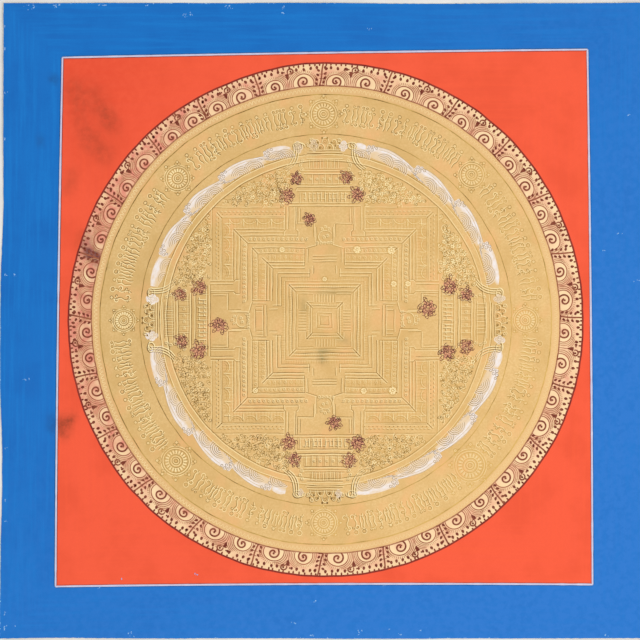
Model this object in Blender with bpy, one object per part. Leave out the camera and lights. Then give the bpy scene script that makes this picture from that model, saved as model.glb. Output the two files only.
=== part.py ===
"""Unmounted thangka painting: one square of stiff primed cotton, lying face up.

Units are metres, +Z is up. The image's right is +X and its top is +Y. The origin is at the middle of the
cloth's bounding box, on the surface that the cloth rests on. The cloth rests flat over its middle, and its
old edges and corners curl up by a millimetre or two in long soft waves.
"""

import math

import bmesh
import bpy

# Driving dimensions of the cut cloth
WIDTH = 0.484
HEIGHT = 0.4765
THICKNESS = 0.0015

# Long soft waves of the edges: height of the crests, how far in from the edge they start, and their lengths
EDGE_LIFT = 0.0016
CORNER_LIFT = 0.0014
LIFT_REACH = 0.055
CORNER_REACH = 0.075
WAVE_LENGTH_ALONG_X = 0.163
WAVE_LENGTH_ALONG_Y = 0.191

# The cloth bears on its middle and towards its corners, and stands off a hair at the middle of each side
SIDE_RISE = 0.00008
SIDE_FROM = 0.125
SIDE_REACH = 0.045

# The sides were cut by hand, so each one wanders: (share of the side from its start, distance outwards)
# The left and right sides start at the top, and the top and bottom ones start at the left.
LEFT_CUT = ((0.0, -0.0026), (0.3, -0.0023), (0.46, -0.0002), (0.6, 0.0), (0.7, -0.0013), (0.77, -0.0012),
            (0.86, -0.0003), (1.0, 0.0))
RIGHT_CUT = ((0.0, -0.0008), (0.25, -0.0002), (0.5, 0.0), (0.75, -0.0005), (1.0, -0.0012))
TOP_CUT = ((0.0, -0.0003), (0.35, 0.0), (0.7, -0.0005), (1.0, -0.0002))
BOTTOM_CUT = ((0.0, -0.0006), (0.4, -0.0001), (0.75, 0.0), (1.0, -0.0007))

# Cells of the sheet along each side
CELLS = 26

CLOTH_COLOUR = (0.035, 0.17, 0.50, 1.0)
CLOTH_ROUGHNESS = 0.85


def clear_scene():
    """Removes every object of the start-up scene."""
    for obj in list(bpy.data.objects):
        bpy.data.objects.remove(obj, do_unlink=True)


def ease(share):
    """Smooth step from 0 to 1."""
    share = min(max(share, 0.0), 1.0)
    return share * share * (3.0 - 2.0 * share)


def along(table, share):
    """Value of a (share, distance) table at a share of the side, with smooth steps between its rows."""
    for (start, low), (end, high) in zip(table, table[1:]):
        if share <= end:
            return low + (high - low) * ease((share - start) / (end - start))
    return table[-1][1]


def outline_point(u, v):
    """Place in the plane of the sheet's point (u, v): u runs left to right and v runs top to bottom."""
    left = -WIDTH / 2 - along(LEFT_CUT, v)
    right = WIDTH / 2 + along(RIGHT_CUT, v)
    top = HEIGHT / 2 + along(TOP_CUT, u)
    bottom = -HEIGHT / 2 - along(BOTTOM_CUT, u)
    return left + (right - left) * u, top + (bottom - top) * v


def lift(x, y):
    """Height of the cloth's underside: zero over the middle, soft waves towards the edges, more at corners.

    The middle of each side stands off by SIDE_RISE, so that the cloth bears on its corners and doesn't rock.
    """
    in_x = WIDTH / 2 - abs(x)
    in_y = HEIGHT / 2 - abs(y)
    near_side = ease(1.0 - in_x / LIFT_REACH) ** 2
    near_end = ease(1.0 - in_y / LIFT_REACH) ** 2
    wave_y = 0.5 + 0.5 * math.sin(math.tau * y / WAVE_LENGTH_ALONG_Y + (0.9 if x > 0 else 2.4))
    wave_x = 0.5 + 0.5 * math.sin(math.tau * x / WAVE_LENGTH_ALONG_X + (1.7 if y > 0 else 0.4))
    corner = ease(1.0 - math.hypot(in_x, in_y) / CORNER_REACH)
    out_x = ease((abs(x) - SIDE_FROM) / SIDE_REACH)
    out_y = ease((abs(y) - SIDE_FROM) / SIDE_REACH)
    side = SIDE_RISE * (out_x * (1.0 - out_y) + out_y * (1.0 - out_x))
    return EDGE_LIFT * (near_side * wave_y + near_end * wave_x) + CORNER_LIFT * corner ** 2 + side


def cloth_material():
    """Matt blue paint on cotton, the colour of the wide border."""
    material = bpy.data.materials.new("painted_cotton")
    material.use_nodes = True
    shader = material.node_tree.nodes["Principled BSDF"]
    shader.inputs["Base Color"].default_value = CLOTH_COLOUR
    shader.inputs["Roughness"].default_value = CLOTH_ROUGHNESS
    shader.inputs["Metallic"].default_value = 0.0
    return material


def painted_cloth():
    """The one sheet of the painting: a closed solid with the cut outline and the waves of its edges."""
    sheet = bmesh.new()
    layers = []
    for height in (0.0, THICKNESS):
        rows = []
        for row in range(CELLS + 1):
            points = [outline_point(column / CELLS, row / CELLS) for column in range(CELLS + 1)]
            rows.append([sheet.verts.new((x, y, lift(x, y) + height)) for x, y in points])
        layers.append(rows)
    under, upper = layers
    for row in range(CELLS):
        for column in range(CELLS):
            corners = ((row, column), (row, column + 1), (row + 1, column + 1), (row + 1, column))
            sheet.faces.new([under[r][c] for r, c in corners])
            sheet.faces.new([upper[r][c] for r, c in reversed(corners)])
    rim = [(0, c) for c in range(CELLS)] + [(r, CELLS) for r in range(CELLS)]
    rim += [(CELLS, c) for c in range(CELLS, 0, -1)] + [(r, 0) for r in range(CELLS, 0, -1)]
    for (r0, c0), (r1, c1) in zip(rim, rim[1:] + rim[:1]):
        sheet.faces.new((upper[r0][c0], upper[r1][c1], under[r1][c1], under[r0][c0]))
    bmesh.ops.recalc_face_normals(sheet, faces=sheet.faces)

    mesh = bpy.data.meshes.new("painted_cloth")
    sheet.to_mesh(mesh)
    sheet.free()
    mesh.materials.append(cloth_material())
    mesh.shade_smooth()
    mesh.set_sharp_from_angle(angle=math.radians(40))
    cloth = bpy.data.objects.new("painted_cloth", mesh)
    bpy.context.collection.objects.link(cloth)
    return cloth


def main():
    """Builds the painting."""
    clear_scene()
    painted_cloth()


main()
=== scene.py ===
"""Looks of an unmounted thangka painting: a gold mandala on an orange-red field with a blue border.

The painted cotton lies flat, face up. Every layer of paint is a thin relief that follows the cloth: grounds
are closed films, and lines are low closed ridges, as a loaded brush leaves them. Units are metres, +Z is up,
the painting's right is +X and its top is +Y. Angles on the mandala run clockwise from its top.
"""

from __future__ import annotations

import logging
import math
from collections.abc import Callable
from dataclasses import dataclass, field
from enum import Enum
from functools import cached_property

import bpy
import numpy as np
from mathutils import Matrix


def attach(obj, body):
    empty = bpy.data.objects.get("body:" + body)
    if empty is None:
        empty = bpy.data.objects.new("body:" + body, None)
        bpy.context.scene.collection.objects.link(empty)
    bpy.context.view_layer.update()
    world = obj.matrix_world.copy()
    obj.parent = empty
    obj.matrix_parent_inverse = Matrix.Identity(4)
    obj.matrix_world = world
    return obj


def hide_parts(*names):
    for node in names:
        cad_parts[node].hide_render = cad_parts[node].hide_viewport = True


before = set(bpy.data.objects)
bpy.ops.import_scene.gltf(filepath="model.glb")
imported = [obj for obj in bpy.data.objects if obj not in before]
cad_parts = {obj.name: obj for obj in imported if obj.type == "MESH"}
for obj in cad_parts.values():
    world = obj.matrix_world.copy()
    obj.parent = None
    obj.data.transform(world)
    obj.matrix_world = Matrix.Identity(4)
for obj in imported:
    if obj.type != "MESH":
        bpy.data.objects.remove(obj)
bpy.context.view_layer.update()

Array = np.ndarray
Number = float | Array
Pair = tuple[float, float]
Place = tuple[float, float, float]
Colour = tuple[float, float, float, float]
Socket = bpy.types.NodeSocket
MM = 0.001
TAU = math.tau
BOTH_WAYS = (1.0, -1.0)
NODE = "painted_cloth"
BODY = "root"
LOG = logging.getLogger("thangka")


def tint(red: int, green: int, blue: int) -> Colour:
    """Linear colour of an 8-bit display colour.

    Formula: each channel c is c/12.92 up to 0.04045 and ((c + 0.055)/1.055)^2.4 above it.

    Args:
        red, green, blue: display channels, 0 to 255.

    Returns:
        Linear red, green, blue and an alpha of 1.
    """
    channels = np.array((red, green, blue)) / 255.0
    linear = np.where(channels <= 0.04045, channels / 12.92, ((channels + 0.055) / 1.055) ** 2.4)
    return (float(linear[0]), float(linear[1]), float(linear[2]), 1.0)


def ease(share: Array) -> Array:
    """Smooth step: 3s^2 - 2s^3 of the share held within 0 and 1."""
    held = np.clip(share, 0.0, 1.0)
    return held * held * (3.0 - 2.0 * held)


def pair(x: Number, y: Number) -> Array:
    """Points (..., 2) from their x and y, spread to one shape."""
    return np.stack(np.broadcast_arrays(x, y), axis=-1)


def turned(x: Array, y: Array, angle: Number) -> Array:
    """Points turned clockwise by an angle: (x*cos a + y*sin a, y*cos a - x*sin a)."""
    return pair(x * np.cos(angle) + y * np.sin(angle), y * np.cos(angle) - x * np.sin(angle))


def left_of(paths: Array) -> Array:
    """Unit vectors to the left of each path's direction, which neighbouring points give."""
    run = np.gradient(paths, axis=1)
    run /= np.maximum(np.linalg.norm(run, axis=-1, keepdims=True), 1e-9)
    return pair(-run[..., 1], run[..., 0])


class Layer(Enum):
    """Heights of the layers of paint over the cotton's top, in metres: films' tops and lines' crests."""

    FIELD = 0.00005
    GROUND = 0.00010
    RING = 0.00012
    WASH = 0.00013
    CLOUD = 0.00017
    LINE = 0.00020
    RAISED = 0.00025


@dataclass(frozen=True)
class ClothLie:
    """How the cloth lies: its hand-cut outline, and the long soft waves of its edges."""

    width: float = 0.484
    height: float = 0.4765
    body: float = 0.0011
    edge_lift: float = 0.0016
    corner_lift: float = 0.0014
    reach: float = 0.055
    corner_reach: float = 0.075
    wave_x: float = 0.163
    wave_y: float = 0.191
    left_cut: tuple = (
        (0, -2.6), (0.3, -2.3), (0.46, -0.2), (0.6, 0), (0.7, -1.3), (0.77, -1.2), (0.86, -0.3), (1, 0))
    right_cut: tuple = ((0, -0.8), (0.25, -0.2), (0.5, 0), (0.75, -0.5), (1, -1.2))
    top_cut: tuple = ((0, -0.3), (0.35, 0), (0.7, -0.5), (1, -0.2))
    bottom_cut: tuple = ((0, -0.6), (0.4, -0.1), (0.75, 0), (1, -0.7))

    def along(self, cut: tuple, share: Array) -> Array:
        """Distance of a cut side from the rectangle, in metres.

        Formula: a smooth step between the rows of the table, which holds shares and millimetres.

        Args:
            cut: rows of (share of the side, millimetres outwards).
            share: places along the side, 0 to 1.

        Returns:
            Outward distance at each place.
        """
        starts, values = np.array(cut).T
        row = np.clip(np.searchsorted(starts, share, side="right") - 1, 0, len(starts) - 2)
        part = (share - starts[row]) / (starts[row + 1] - starts[row])
        return (values[row] + (values[row + 1] - values[row]) * ease(part)) * MM

    def outline(self, u: Array, v: Array) -> tuple[Array, Array]:
        """Place of the sheet's point (u, v).

        Formula: a straight blend between opposite cut sides; u runs left to right and v top to bottom.

        Args:
            u, v: shares of the width and of the height.

        Returns:
            x and y of each point.
        """
        left = -self.width / 2 - self.along(self.left_cut, v)
        right = self.width / 2 + self.along(self.right_cut, v)
        top = self.height / 2 + self.along(self.top_cut, u)
        bottom = -self.height / 2 - self.along(self.bottom_cut, u)
        return left + (right - left) * u, top + (bottom - top) * v

    def lift(self, x: Array, y: Array) -> Array:
        """Height of the cloth's underside over the surface.

        Formula: zero over the middle; towards each side the square of a smooth step times a raised sine along
        it, and at each corner the square of a smooth step of the distance to it.

        Args:
            x, y: places on the cloth.

        Returns:
            Height of the underside at each place.
        """
        in_x, in_y = self.width / 2 - np.abs(x), self.height / 2 - np.abs(y)
        near_side, near_end = ease(1 - in_x / self.reach) ** 2, ease(1 - in_y / self.reach) ** 2
        wave_y = 0.5 + 0.5 * np.sin(TAU * y / self.wave_y + np.where(x > 0, 0.9, 2.4))
        wave_x = 0.5 + 0.5 * np.sin(TAU * x / self.wave_x + np.where(y > 0, 1.7, 0.4))
        corner = ease(1 - np.hypot(in_x, in_y) / self.corner_reach) ** 2
        return self.edge_lift * (near_side * wave_y + near_end * wave_x) + self.corner_lift * corner

    def top(self, x: Array, y: Array) -> Array:
        """Height of the cotton's upper face: its underside's height and its body."""
        return self.lift(x, y) + self.body


@dataclass(frozen=True)
class Hand:
    """The unevenness of a painter's hand: slow drifts of place and of the paint's load."""

    drift: float = 0.00022
    seed: int = 11

    def waves(self, x: Array, y: Array, length: float, phase: float) -> Array:
        """Slow noise between about -1 and 1.

        Formula: the mean of four sines along turned directions, with lengths that don't divide each other.

        Args:
            x, y: places.
            length: the longest wave.
            phase: shift that makes one noise differ from the next.

        Returns:
            Value of the noise at each place.
        """
        turn = np.array((0.3, 1.7, 2.9, 4.2)) + phase
        size = TAU / (length * np.array((1.0, 0.71, 0.47, 0.29)))
        along = x[..., None] * np.cos(turn) + y[..., None] * np.sin(turn)
        return np.sin(along * size + 5.1 * phase + turn).mean(axis=-1) * 1.6

    def shake(self, paths: Array) -> Array:
        """Paths moved by the hand's slow drift, in both directions."""
        x, y = paths[..., 0], paths[..., 1]
        return paths + pair(self.waves(x, y, 0.045, 0.4), self.waves(x, y, 0.052, 1.9)) * self.drift

    def load(self, paths: Array, strength: Number, rubbed: float, phase: float, lean: Pair) -> Array:
        """Amount of paint along each path.

        Formula: strength, less the rubbed share of a slow noise over the painting, and a chance of each path;
        it changes by lean for each 0.3 m in x and in y, so the load is fuller towards one side.

        Args:
            paths: (paths, points, 2).
            strength: the mean load, 0 to 1.
            rubbed: how far the load falls where the painting is rubbed.
            phase: shift of the noise, so that inks wear apart from each other.
            lean: growth in x and in y over 0.3 m.

        Returns:
            Load at each point, 0 to 1.
        """
        x, y = paths[..., 0], paths[..., 1]
        chance = np.random.default_rng(self.seed + len(paths)).uniform(-0.5, 0.5, (len(paths), 1))
        broad = 0.5 + 0.5 * self.waves(x, y, 0.031, 3.3 + phase)
        fine = 0.5 + 0.5 * self.waves(x, y, 0.009, 0.7 + phase)
        kept = (lean[0] * x + lean[1] * y) / 0.3
        worn = rubbed * (0.6 * broad + 0.4 * fine)
        return np.clip(strength + kept - worn + 0.35 * rubbed * chance, 0.02, 1.0)


@dataclass
class Patch:
    """A piece of mesh: points (n, 3), faces as arrays of one size each, and each point's load of paint."""

    points: Array
    faces: list[Array]
    load: Array


def grid_faces(count: int, rows: int, columns: int, wrap: bool = False) -> Array:
    """Quads of several grids of points that lie one after the other.

    Formula: corner (r, c) of grid k is point k*rows*columns + r*columns + c, and each quad runs (r, c),
    (r+1, c), (r+1, c+1), (r, c+1).

    Args:
        count: how many grids.
        rows, columns: points of each.
        wrap: whether the last column joins the first.

    Returns:
        (quads, 4) point numbers.
    """
    row = np.arange(rows - 1)[:, None]
    column = np.arange(columns if wrap else columns - 1)[None, :]
    beside = (column + 1) % columns
    quad = np.stack((row * columns + column, (row + 1) * columns + column,
                     (row + 1) * columns + beside, row * columns + beside), axis=-1).reshape(-1, 4)
    return (np.arange(count)[:, None, None] * rows * columns + quad[None]).reshape(-1, 4)


def rim_of(number: Array) -> Array:
    """Point numbers round a grid's rim: down its first column, along the last row, up, and back."""
    return np.concatenate((number[:, 0], number[-1, 1:], number[-2::-1, -1], number[0, -2:0:-1]))


def wall(near: Array, far: Array) -> Array:
    """Quads between two closed loops of point numbers: near, far, next far, next near."""
    return np.stack((near, far, np.roll(far, -1), np.roll(near, -1)), axis=-1)


@dataclass
class Relief:
    """One object of paint in the making: films, lines and drops that follow the cloth."""

    name: str
    lie: ClothLie
    hand: Hand
    patches: list[Patch] = field(default_factory=list)
    sunk: float = 0.00004
    phase: float = 0.0
    lean: Pair = (0.0, 0.0)

    def add(self, points: Array, faces: list[Array], load: Array) -> None:
        """Keeps one patch."""
        load = np.broadcast_to(load, points.shape[:-1]).ravel()
        self.patches.append(Patch(points.reshape(-1, 3), faces, load))

    @property
    def foot(self) -> float:
        """Height of the paint's underside over the cotton's top."""
        return Layer.FIELD.value - self.sunk

    def lines(self, paths: Array, width: Number, crest: Layer = Layer.LINE, strength: Number = 1.0,
              rubbed: float = 0.25, taper: float = 0.35, bold: bool = False, steady: bool = False) -> None:
        """Brush lines along paths, as low closed ridges.

        Formula: at each point the section lies across the path's direction, at shares of the half width; the
        outer corners are sunk into the ground and the inner ones stand at the crest. The half width is
        width/2 times 1 - taper*|2s - 1|^3, where s runs from 0 to 1 along the path.

        Args:
            paths: (paths, points, 2), or (points, 2) for one.
            width: width of the line, or one for each point.
            crest: the layer whose height the line reaches.
            strength, rubbed: load of paint, and how far it falls where it is rubbed.
            taper: share of the width that the ends lose.
            bold: whether the section has a flat top, as wide lines do.
            steady: whether the hand's drift is left out.
        """
        paths = paths[None] if paths.ndim == 2 else paths
        paths = paths if steady else self.hand.shake(paths)
        count, places = paths.shape[:2]
        share = np.linspace(0, 1, places)
        half = np.broadcast_to(width, (count, places)) / 2 * (1 - taper * np.abs(2 * share - 1) ** 3)
        across, rise = ((-1, -0.6, 0.6, 1), (0, 1, 1, 0)) if bold else ((-1, 0, 1), (0, 1, 0))
        across, rise = np.array(across, float), np.array(rise, float)
        place = paths[:, :, None, :] + left_of(paths)[:, :, None, :] * (half[:, :, None] * across)[..., None]
        height = self.lie.top(place[..., 0], place[..., 1]) + self.foot + rise * (crest.value - self.foot)
        points = np.concatenate((place, height[..., None]), axis=-1)
        section = len(across)
        start = np.arange(count)[:, None] * places * section + np.arange(section)
        end = start[:, ::-1] + (places - 1) * section
        load = self.hand.load(paths, strength, rubbed, self.phase, self.lean)[:, :, None]
        self.add(points, [grid_faces(count, places, section, wrap=True), start, end], load)

    def drops(self, centres: Array, radius: Number, long: Number = 1.0, angle: Number = 0.0,
              tail: float = 0.0, crest: Layer = Layer.LINE, strength: Number = 1.0, rubbed: float = 0.2,
              sides: int = 7, rough: float = 0.0) -> None:
        """Small closed drops of paint.

        Formula: the outline at angle a is radius*(cos a, long*sin a), with tail*max(sin a, 0)^4 added to its
        length and a chance of rough added to its radius; the top is the outline shrunk to 0.6.

        Args:
            centres: (drops, 2).
            radius: radius across the drop.
            long: length over width.
            angle: turn of the long axis from +Y, clockwise.
            tail: length of the tip over the radius.
            crest: layer whose height the drop reaches.
            strength, rubbed: load of paint, and how far it falls.
            sides: corners of the outline.
            rough: unevenness of the outline.
        """
        count = len(centres)
        radius, long, angle = (np.broadcast_to(value, (count,))[:, None] for value in (radius, long, angle))
        around = np.arange(sides) * TAU / sides
        tip = np.clip(np.sin(around), 0, 1)
        uneven = 1 + rough * np.random.default_rng(count).uniform(-1, 1, (count, sides))
        outline = turned(radius * uneven * np.cos(around) * (1 - 0.25 * tail * tip),
                         radius * uneven * (long * np.sin(around) + tail * tip ** 4), angle)
        place = centres[:, None, None, :] + outline[:, None] * np.array((1.0, 0.6))[None, :, None, None]
        height = self.lie.top(place[..., 0], place[..., 1]) + np.array((self.foot, crest.value))[:, None]
        points = np.concatenate((place, height[..., None]), axis=-1)
        under = np.arange(count)[:, None] * 2 * sides + np.arange(sides)
        walls = grid_faces(count, 2, sides, wrap=True)[:, ::-1]
        load = self.hand.load(centres[:, None], strength, rubbed, self.phase, self.lean)[..., None]
        self.add(points, [walls, under[:, ::-1], under + sides], load)

    def films(self, place: Array, crest: Layer, load: Number = 1.0, wrap: bool = False) -> None:
        """Closed films of paint on grids of places.

        Formula: the upper face follows the cloth at the crest's height, the lower one is the same grid sunk
        into the ground, and a wall joins them along the rim.

        Args:
            place: (films, rows, columns, 2).
            crest: layer of the upper face.
            load: the paint's load, or one for each place.
            wrap: whether the last column joins the first.
        """
        load = np.broadcast_to(load, place.shape[:-1])
        rows, columns = place.shape[1:3]
        down, on = place[0, 1, 0] - place[0, 0, 0], place[0, 0, 1] - place[0, 0, 0]
        if down[0] * on[1] < down[1] * on[0]:
            place, load = place[:, :, ::-1], load[:, :, ::-1]
        x, y = place[..., 0], place[..., 1]
        height = self.lie.top(x, y)[:, None] + np.array((crest.value, self.foot))[:, None, None]
        points = np.stack(np.broadcast_arrays(x[:, None], y[:, None], height), axis=-1)
        number = np.arange(rows * columns).reshape(rows, columns)
        below = rows * columns
        loops = [number[-1], number[0, ::-1]] if wrap else [rim_of(number)]
        cells = grid_faces(1, rows, columns, wrap)
        faces = np.concatenate([cells, cells[:, ::-1] + below, *(wall(loop, loop + below) for loop in loops)])
        block = np.arange(len(x))[:, None, None] * 2 * below
        self.add(points, [(block + faces).reshape(-1, 4)], load[:, None])

    def build(self, material: bpy.types.Material, **values: Callable[[Array, Array], Array]) -> None:
        """Makes the object, at the origin, and rides it on the cloth.

        Args:
            material: its finish.
            values: further attributes, each a function of x and y.
        """
        offsets = np.cumsum([0] + [len(patch.points) for patch in self.patches])
        points = np.concatenate([patch.points for patch in self.patches])
        faces = [part + shift for patch, shift in zip(self.patches, offsets) for part in patch.faces]
        attributes = {"load": np.concatenate([patch.load for patch in self.patches])}
        attributes.update({name: rule(points[:, 0], points[:, 1]) for name, rule in values.items()})
        made = mesh_object(self.name, points, faces, attributes, [material])
        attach(made, BODY)
        LOG.info("%s: %d points, %d faces", self.name, len(points), len(made.data.polygons))


def mesh_object(name: str, points: Array, faces: list[Array], attributes: dict[str, Array],
                materials: list[bpy.types.Material], slots: Array | None = None) -> bpy.types.Object:
    """An object from whole arrays.

    Args:
        name: name of the object and of its mesh.
        points: (n, 3) places.
        faces: arrays of point numbers, each (faces, corners).
        attributes: a value at each point for each name.
        materials: the object's materials.
        slots: the material's number for each face, if there are several.

    Returns:
        The object, linked and shaded smooth.
    """
    mesh = bpy.data.meshes.new(name)
    corners = np.concatenate([part.ravel() for part in faces]).astype(np.int32)
    sizes = np.concatenate([np.full(len(part), part.shape[1]) for part in faces])
    mesh.vertices.add(len(points))
    mesh.vertices.foreach_set("co", np.ascontiguousarray(points, dtype=np.float32).ravel())
    mesh.loops.add(len(corners))
    mesh.loops.foreach_set("vertex_index", corners)
    mesh.polygons.add(len(sizes))
    mesh.polygons.foreach_set("loop_start", np.concatenate(([0], np.cumsum(sizes)[:-1])).astype(np.int32))
    for material in materials:
        mesh.materials.append(material)
    if slots is not None:
        mesh.polygons.foreach_set("material_index", slots.astype(np.int32))
    mesh.update(calc_edges=True)
    for key, values in attributes.items():
        layer = mesh.attributes.new(key, "FLOAT", "POINT")
        layer.data.foreach_set("value", np.ascontiguousarray(values, dtype=np.float32))
    mesh.shade_smooth()
    mesh.set_sharp_from_angle(angle=math.radians(50))
    made = bpy.data.objects.new(name, mesh)
    bpy.context.collection.objects.link(made)
    return made


# Curves and placing

PHOTO_SCALE = 0.00075
PHOTO_MIDDLE = (322.65, 320.25)


def on_cloth(marks: Array) -> Array:
    """Places on the cloth, (marks, 2), of marks measured in the photograph's pixels."""
    return (np.asarray(marks, float) - PHOTO_MIDDLE) * (PHOTO_SCALE, -PHOTO_SCALE)


def spiral(centre: Pair, radii: Pair, start: float, turns: float, places: int = 12,
           bend: float = 0.8) -> Array:
    """A spiral path round a centre.

    Formula: radius = r0 + (r1 - r0)*s^bend and angle = start + 2*pi*turns*s for s from 0 to 1.

    Args:
        centre: its middle.
        radii: first and last radius.
        start: first angle in radians, from +X anticlockwise.
        turns: number of turns, negative for clockwise.
        places: points of the path.
        bend: under 1 winds in faster at first.

    Returns:
        (places, 2) points.
    """
    share = np.linspace(0, 1, places)
    radius = radii[0] + (radii[1] - radii[0]) * share ** bend
    angle = start + TAU * turns * share
    return pair(centre[0] + radius * np.cos(angle), centre[1] + radius * np.sin(angle))


def ellipse(centre: Pair, radii: Pair, start: float = 0.0, end: float = TAU, places: int = 10) -> Array:
    """An arc of an ellipse: centre + (rx*cos a, ry*sin a) for a from start to end."""
    angle = np.linspace(start, end, places)
    return pair(centre[0] + radii[0] * np.cos(angle), centre[1] + radii[1] * np.sin(angle))


def circle(radius: float, places: int, centre: Pair = (0.0, 0.0)) -> Array:
    """A whole circle: an ellipse with equal radii."""
    return ellipse(centre, (radius, radius), places=places)


def bow(start: Pair, end: Pair, sag: float, places: int = 6) -> Array:
    """A bowed path.

    Formula: the straight run plus sag*4s(1 - s) to its left.

    Args:
        start, end: its ends.
        sag: how far its middle stands off.
        places: points of the path.

    Returns:
        (places, 2) points.
    """
    share = np.linspace(0, 1, places)[:, None]
    run = np.array(end) - start
    left = np.array((-run[1], run[0])) / max(float(np.hypot(*run)), 1e-9)
    return start + run * share + left * sag * 4 * share * (1 - share)


def placed(curve: Array, centres: Array, angle: Number = 0.0, size: Number = 1.0,
           flip: Number = 1.0) -> Array:
    """Copies of a curve at many places.

    Formula: each point is mirrored in x by flip, scaled by size, turned clockwise by angle and moved.

    Args:
        curve: (points, 2) in its own frame.
        centres: (copies, 2).
        angle: clockwise turn of each copy.
        size: scale of each copy.
        flip: 1, or -1 to mirror.

    Returns:
        (copies, points, 2).
    """
    count = len(centres)
    angle, size, flip = (np.broadcast_to(value, (count,))[:, None] for value in (angle, size, flip))
    return centres[:, None, :] + turned(curve[:, 0] * flip * size, curve[:, 1] * size, angle)


def spots(x: float, y: float, centres: Array, angle: Number = 0.0, size: Number = 1.0) -> Array:
    """The point (x, y) of each copy's own frame, (copies, 2)."""
    return placed(np.array(((x, y),)), centres, angle, size)[:, 0]


# Shader graphs


class Graph:
    """Short calls for laying out the nodes of a material or a group."""

    def __init__(self, tree: bpy.types.NodeTree) -> None:
        """Keeps the tree that the nodes go into."""
        self.tree = tree

    def node(self, kind: str, inputs: dict | None = None, **settings: object) -> bpy.types.Node:
        """A node with its settings and inputs.

        Args:
            kind: the node's type.
            inputs: a value or another node's socket for each input.
            settings: the node's own options.

        Returns:
            The new node.
        """
        made = self.tree.nodes.new(kind)
        for key, value in settings.items():
            setattr(made, key, value)
        for key, value in (inputs or {}).items():
            if isinstance(value, Socket):
                self.link(value, made.inputs[key])
            else:
                made.inputs[key].default_value = value
        return made

    def link(self, source: Socket, target: Socket) -> None:
        """Joins two sockets."""
        self.tree.links.new(source, target)

    def mix(self, share: object, first: object, second: object) -> Socket:
        """A colour between two, by a share or a mask."""
        return self.node("ShaderNodeMix", {0: share, 6: first, 7: second}, data_type="RGBA").outputs[2]

    def blend(self, share: object, first: object, second: object) -> Socket:
        """A value between two, by a share or a mask."""
        return self.node("ShaderNodeMix", {0: share, 2: first, 3: second}).outputs[0]

    def maths(self, operation: str, first: object, second: object = 0.5, third: object = 0.0) -> Socket:
        """The result of a Math node."""
        return self.node("ShaderNodeMath", {0: first, 1: second, 2: third}, operation=operation).outputs[0]

    def times(self, first: object, second: object) -> Socket:
        """The product of two values."""
        return self.maths("MULTIPLY", first, second)

    def ramp(self, value: object, low: float, high: float, start: float = 0.0, end: float = 1.0) -> Socket:
        """A value carried from low..high to start..end, held at both."""
        return self.node("ShaderNodeMapRange", {0: value, 1: low, 2: high, 3: start, 4: end},
                         interpolation_type="SMOOTHSTEP").outputs[0]

    def noise(self, place: object, scale: float, detail: float = 3.0, rough: float = 0.55) -> Socket:
        """A noise from 0 to 1 over a place."""
        return self.node("ShaderNodeTexNoise", {"Vector": place, "Scale": scale, "Detail": detail,
                                                "Roughness": rough}).outputs["Fac"]

    def place(self, stretch: Place = (1.0, 1.0, 1.0)) -> Socket:
        """The object's own coordinates, stretched."""
        spot = self.node("ShaderNodeTexCoord").outputs["Object"]
        return self.node("ShaderNodeMapping", {"Vector": spot, "Scale": stretch}).outputs[0]

    def value(self, name: str) -> Socket:
        """A value stored at the mesh's points."""
        return self.node("ShaderNodeAttribute", attribute_name=name).outputs["Fac"]

    def group(self, tree: bpy.types.NodeTree, inputs: dict) -> dict[str, Socket]:
        """The outputs of a shared group placed in this tree."""
        return self.node("ShaderNodeGroup", inputs, node_tree=tree).outputs


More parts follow.
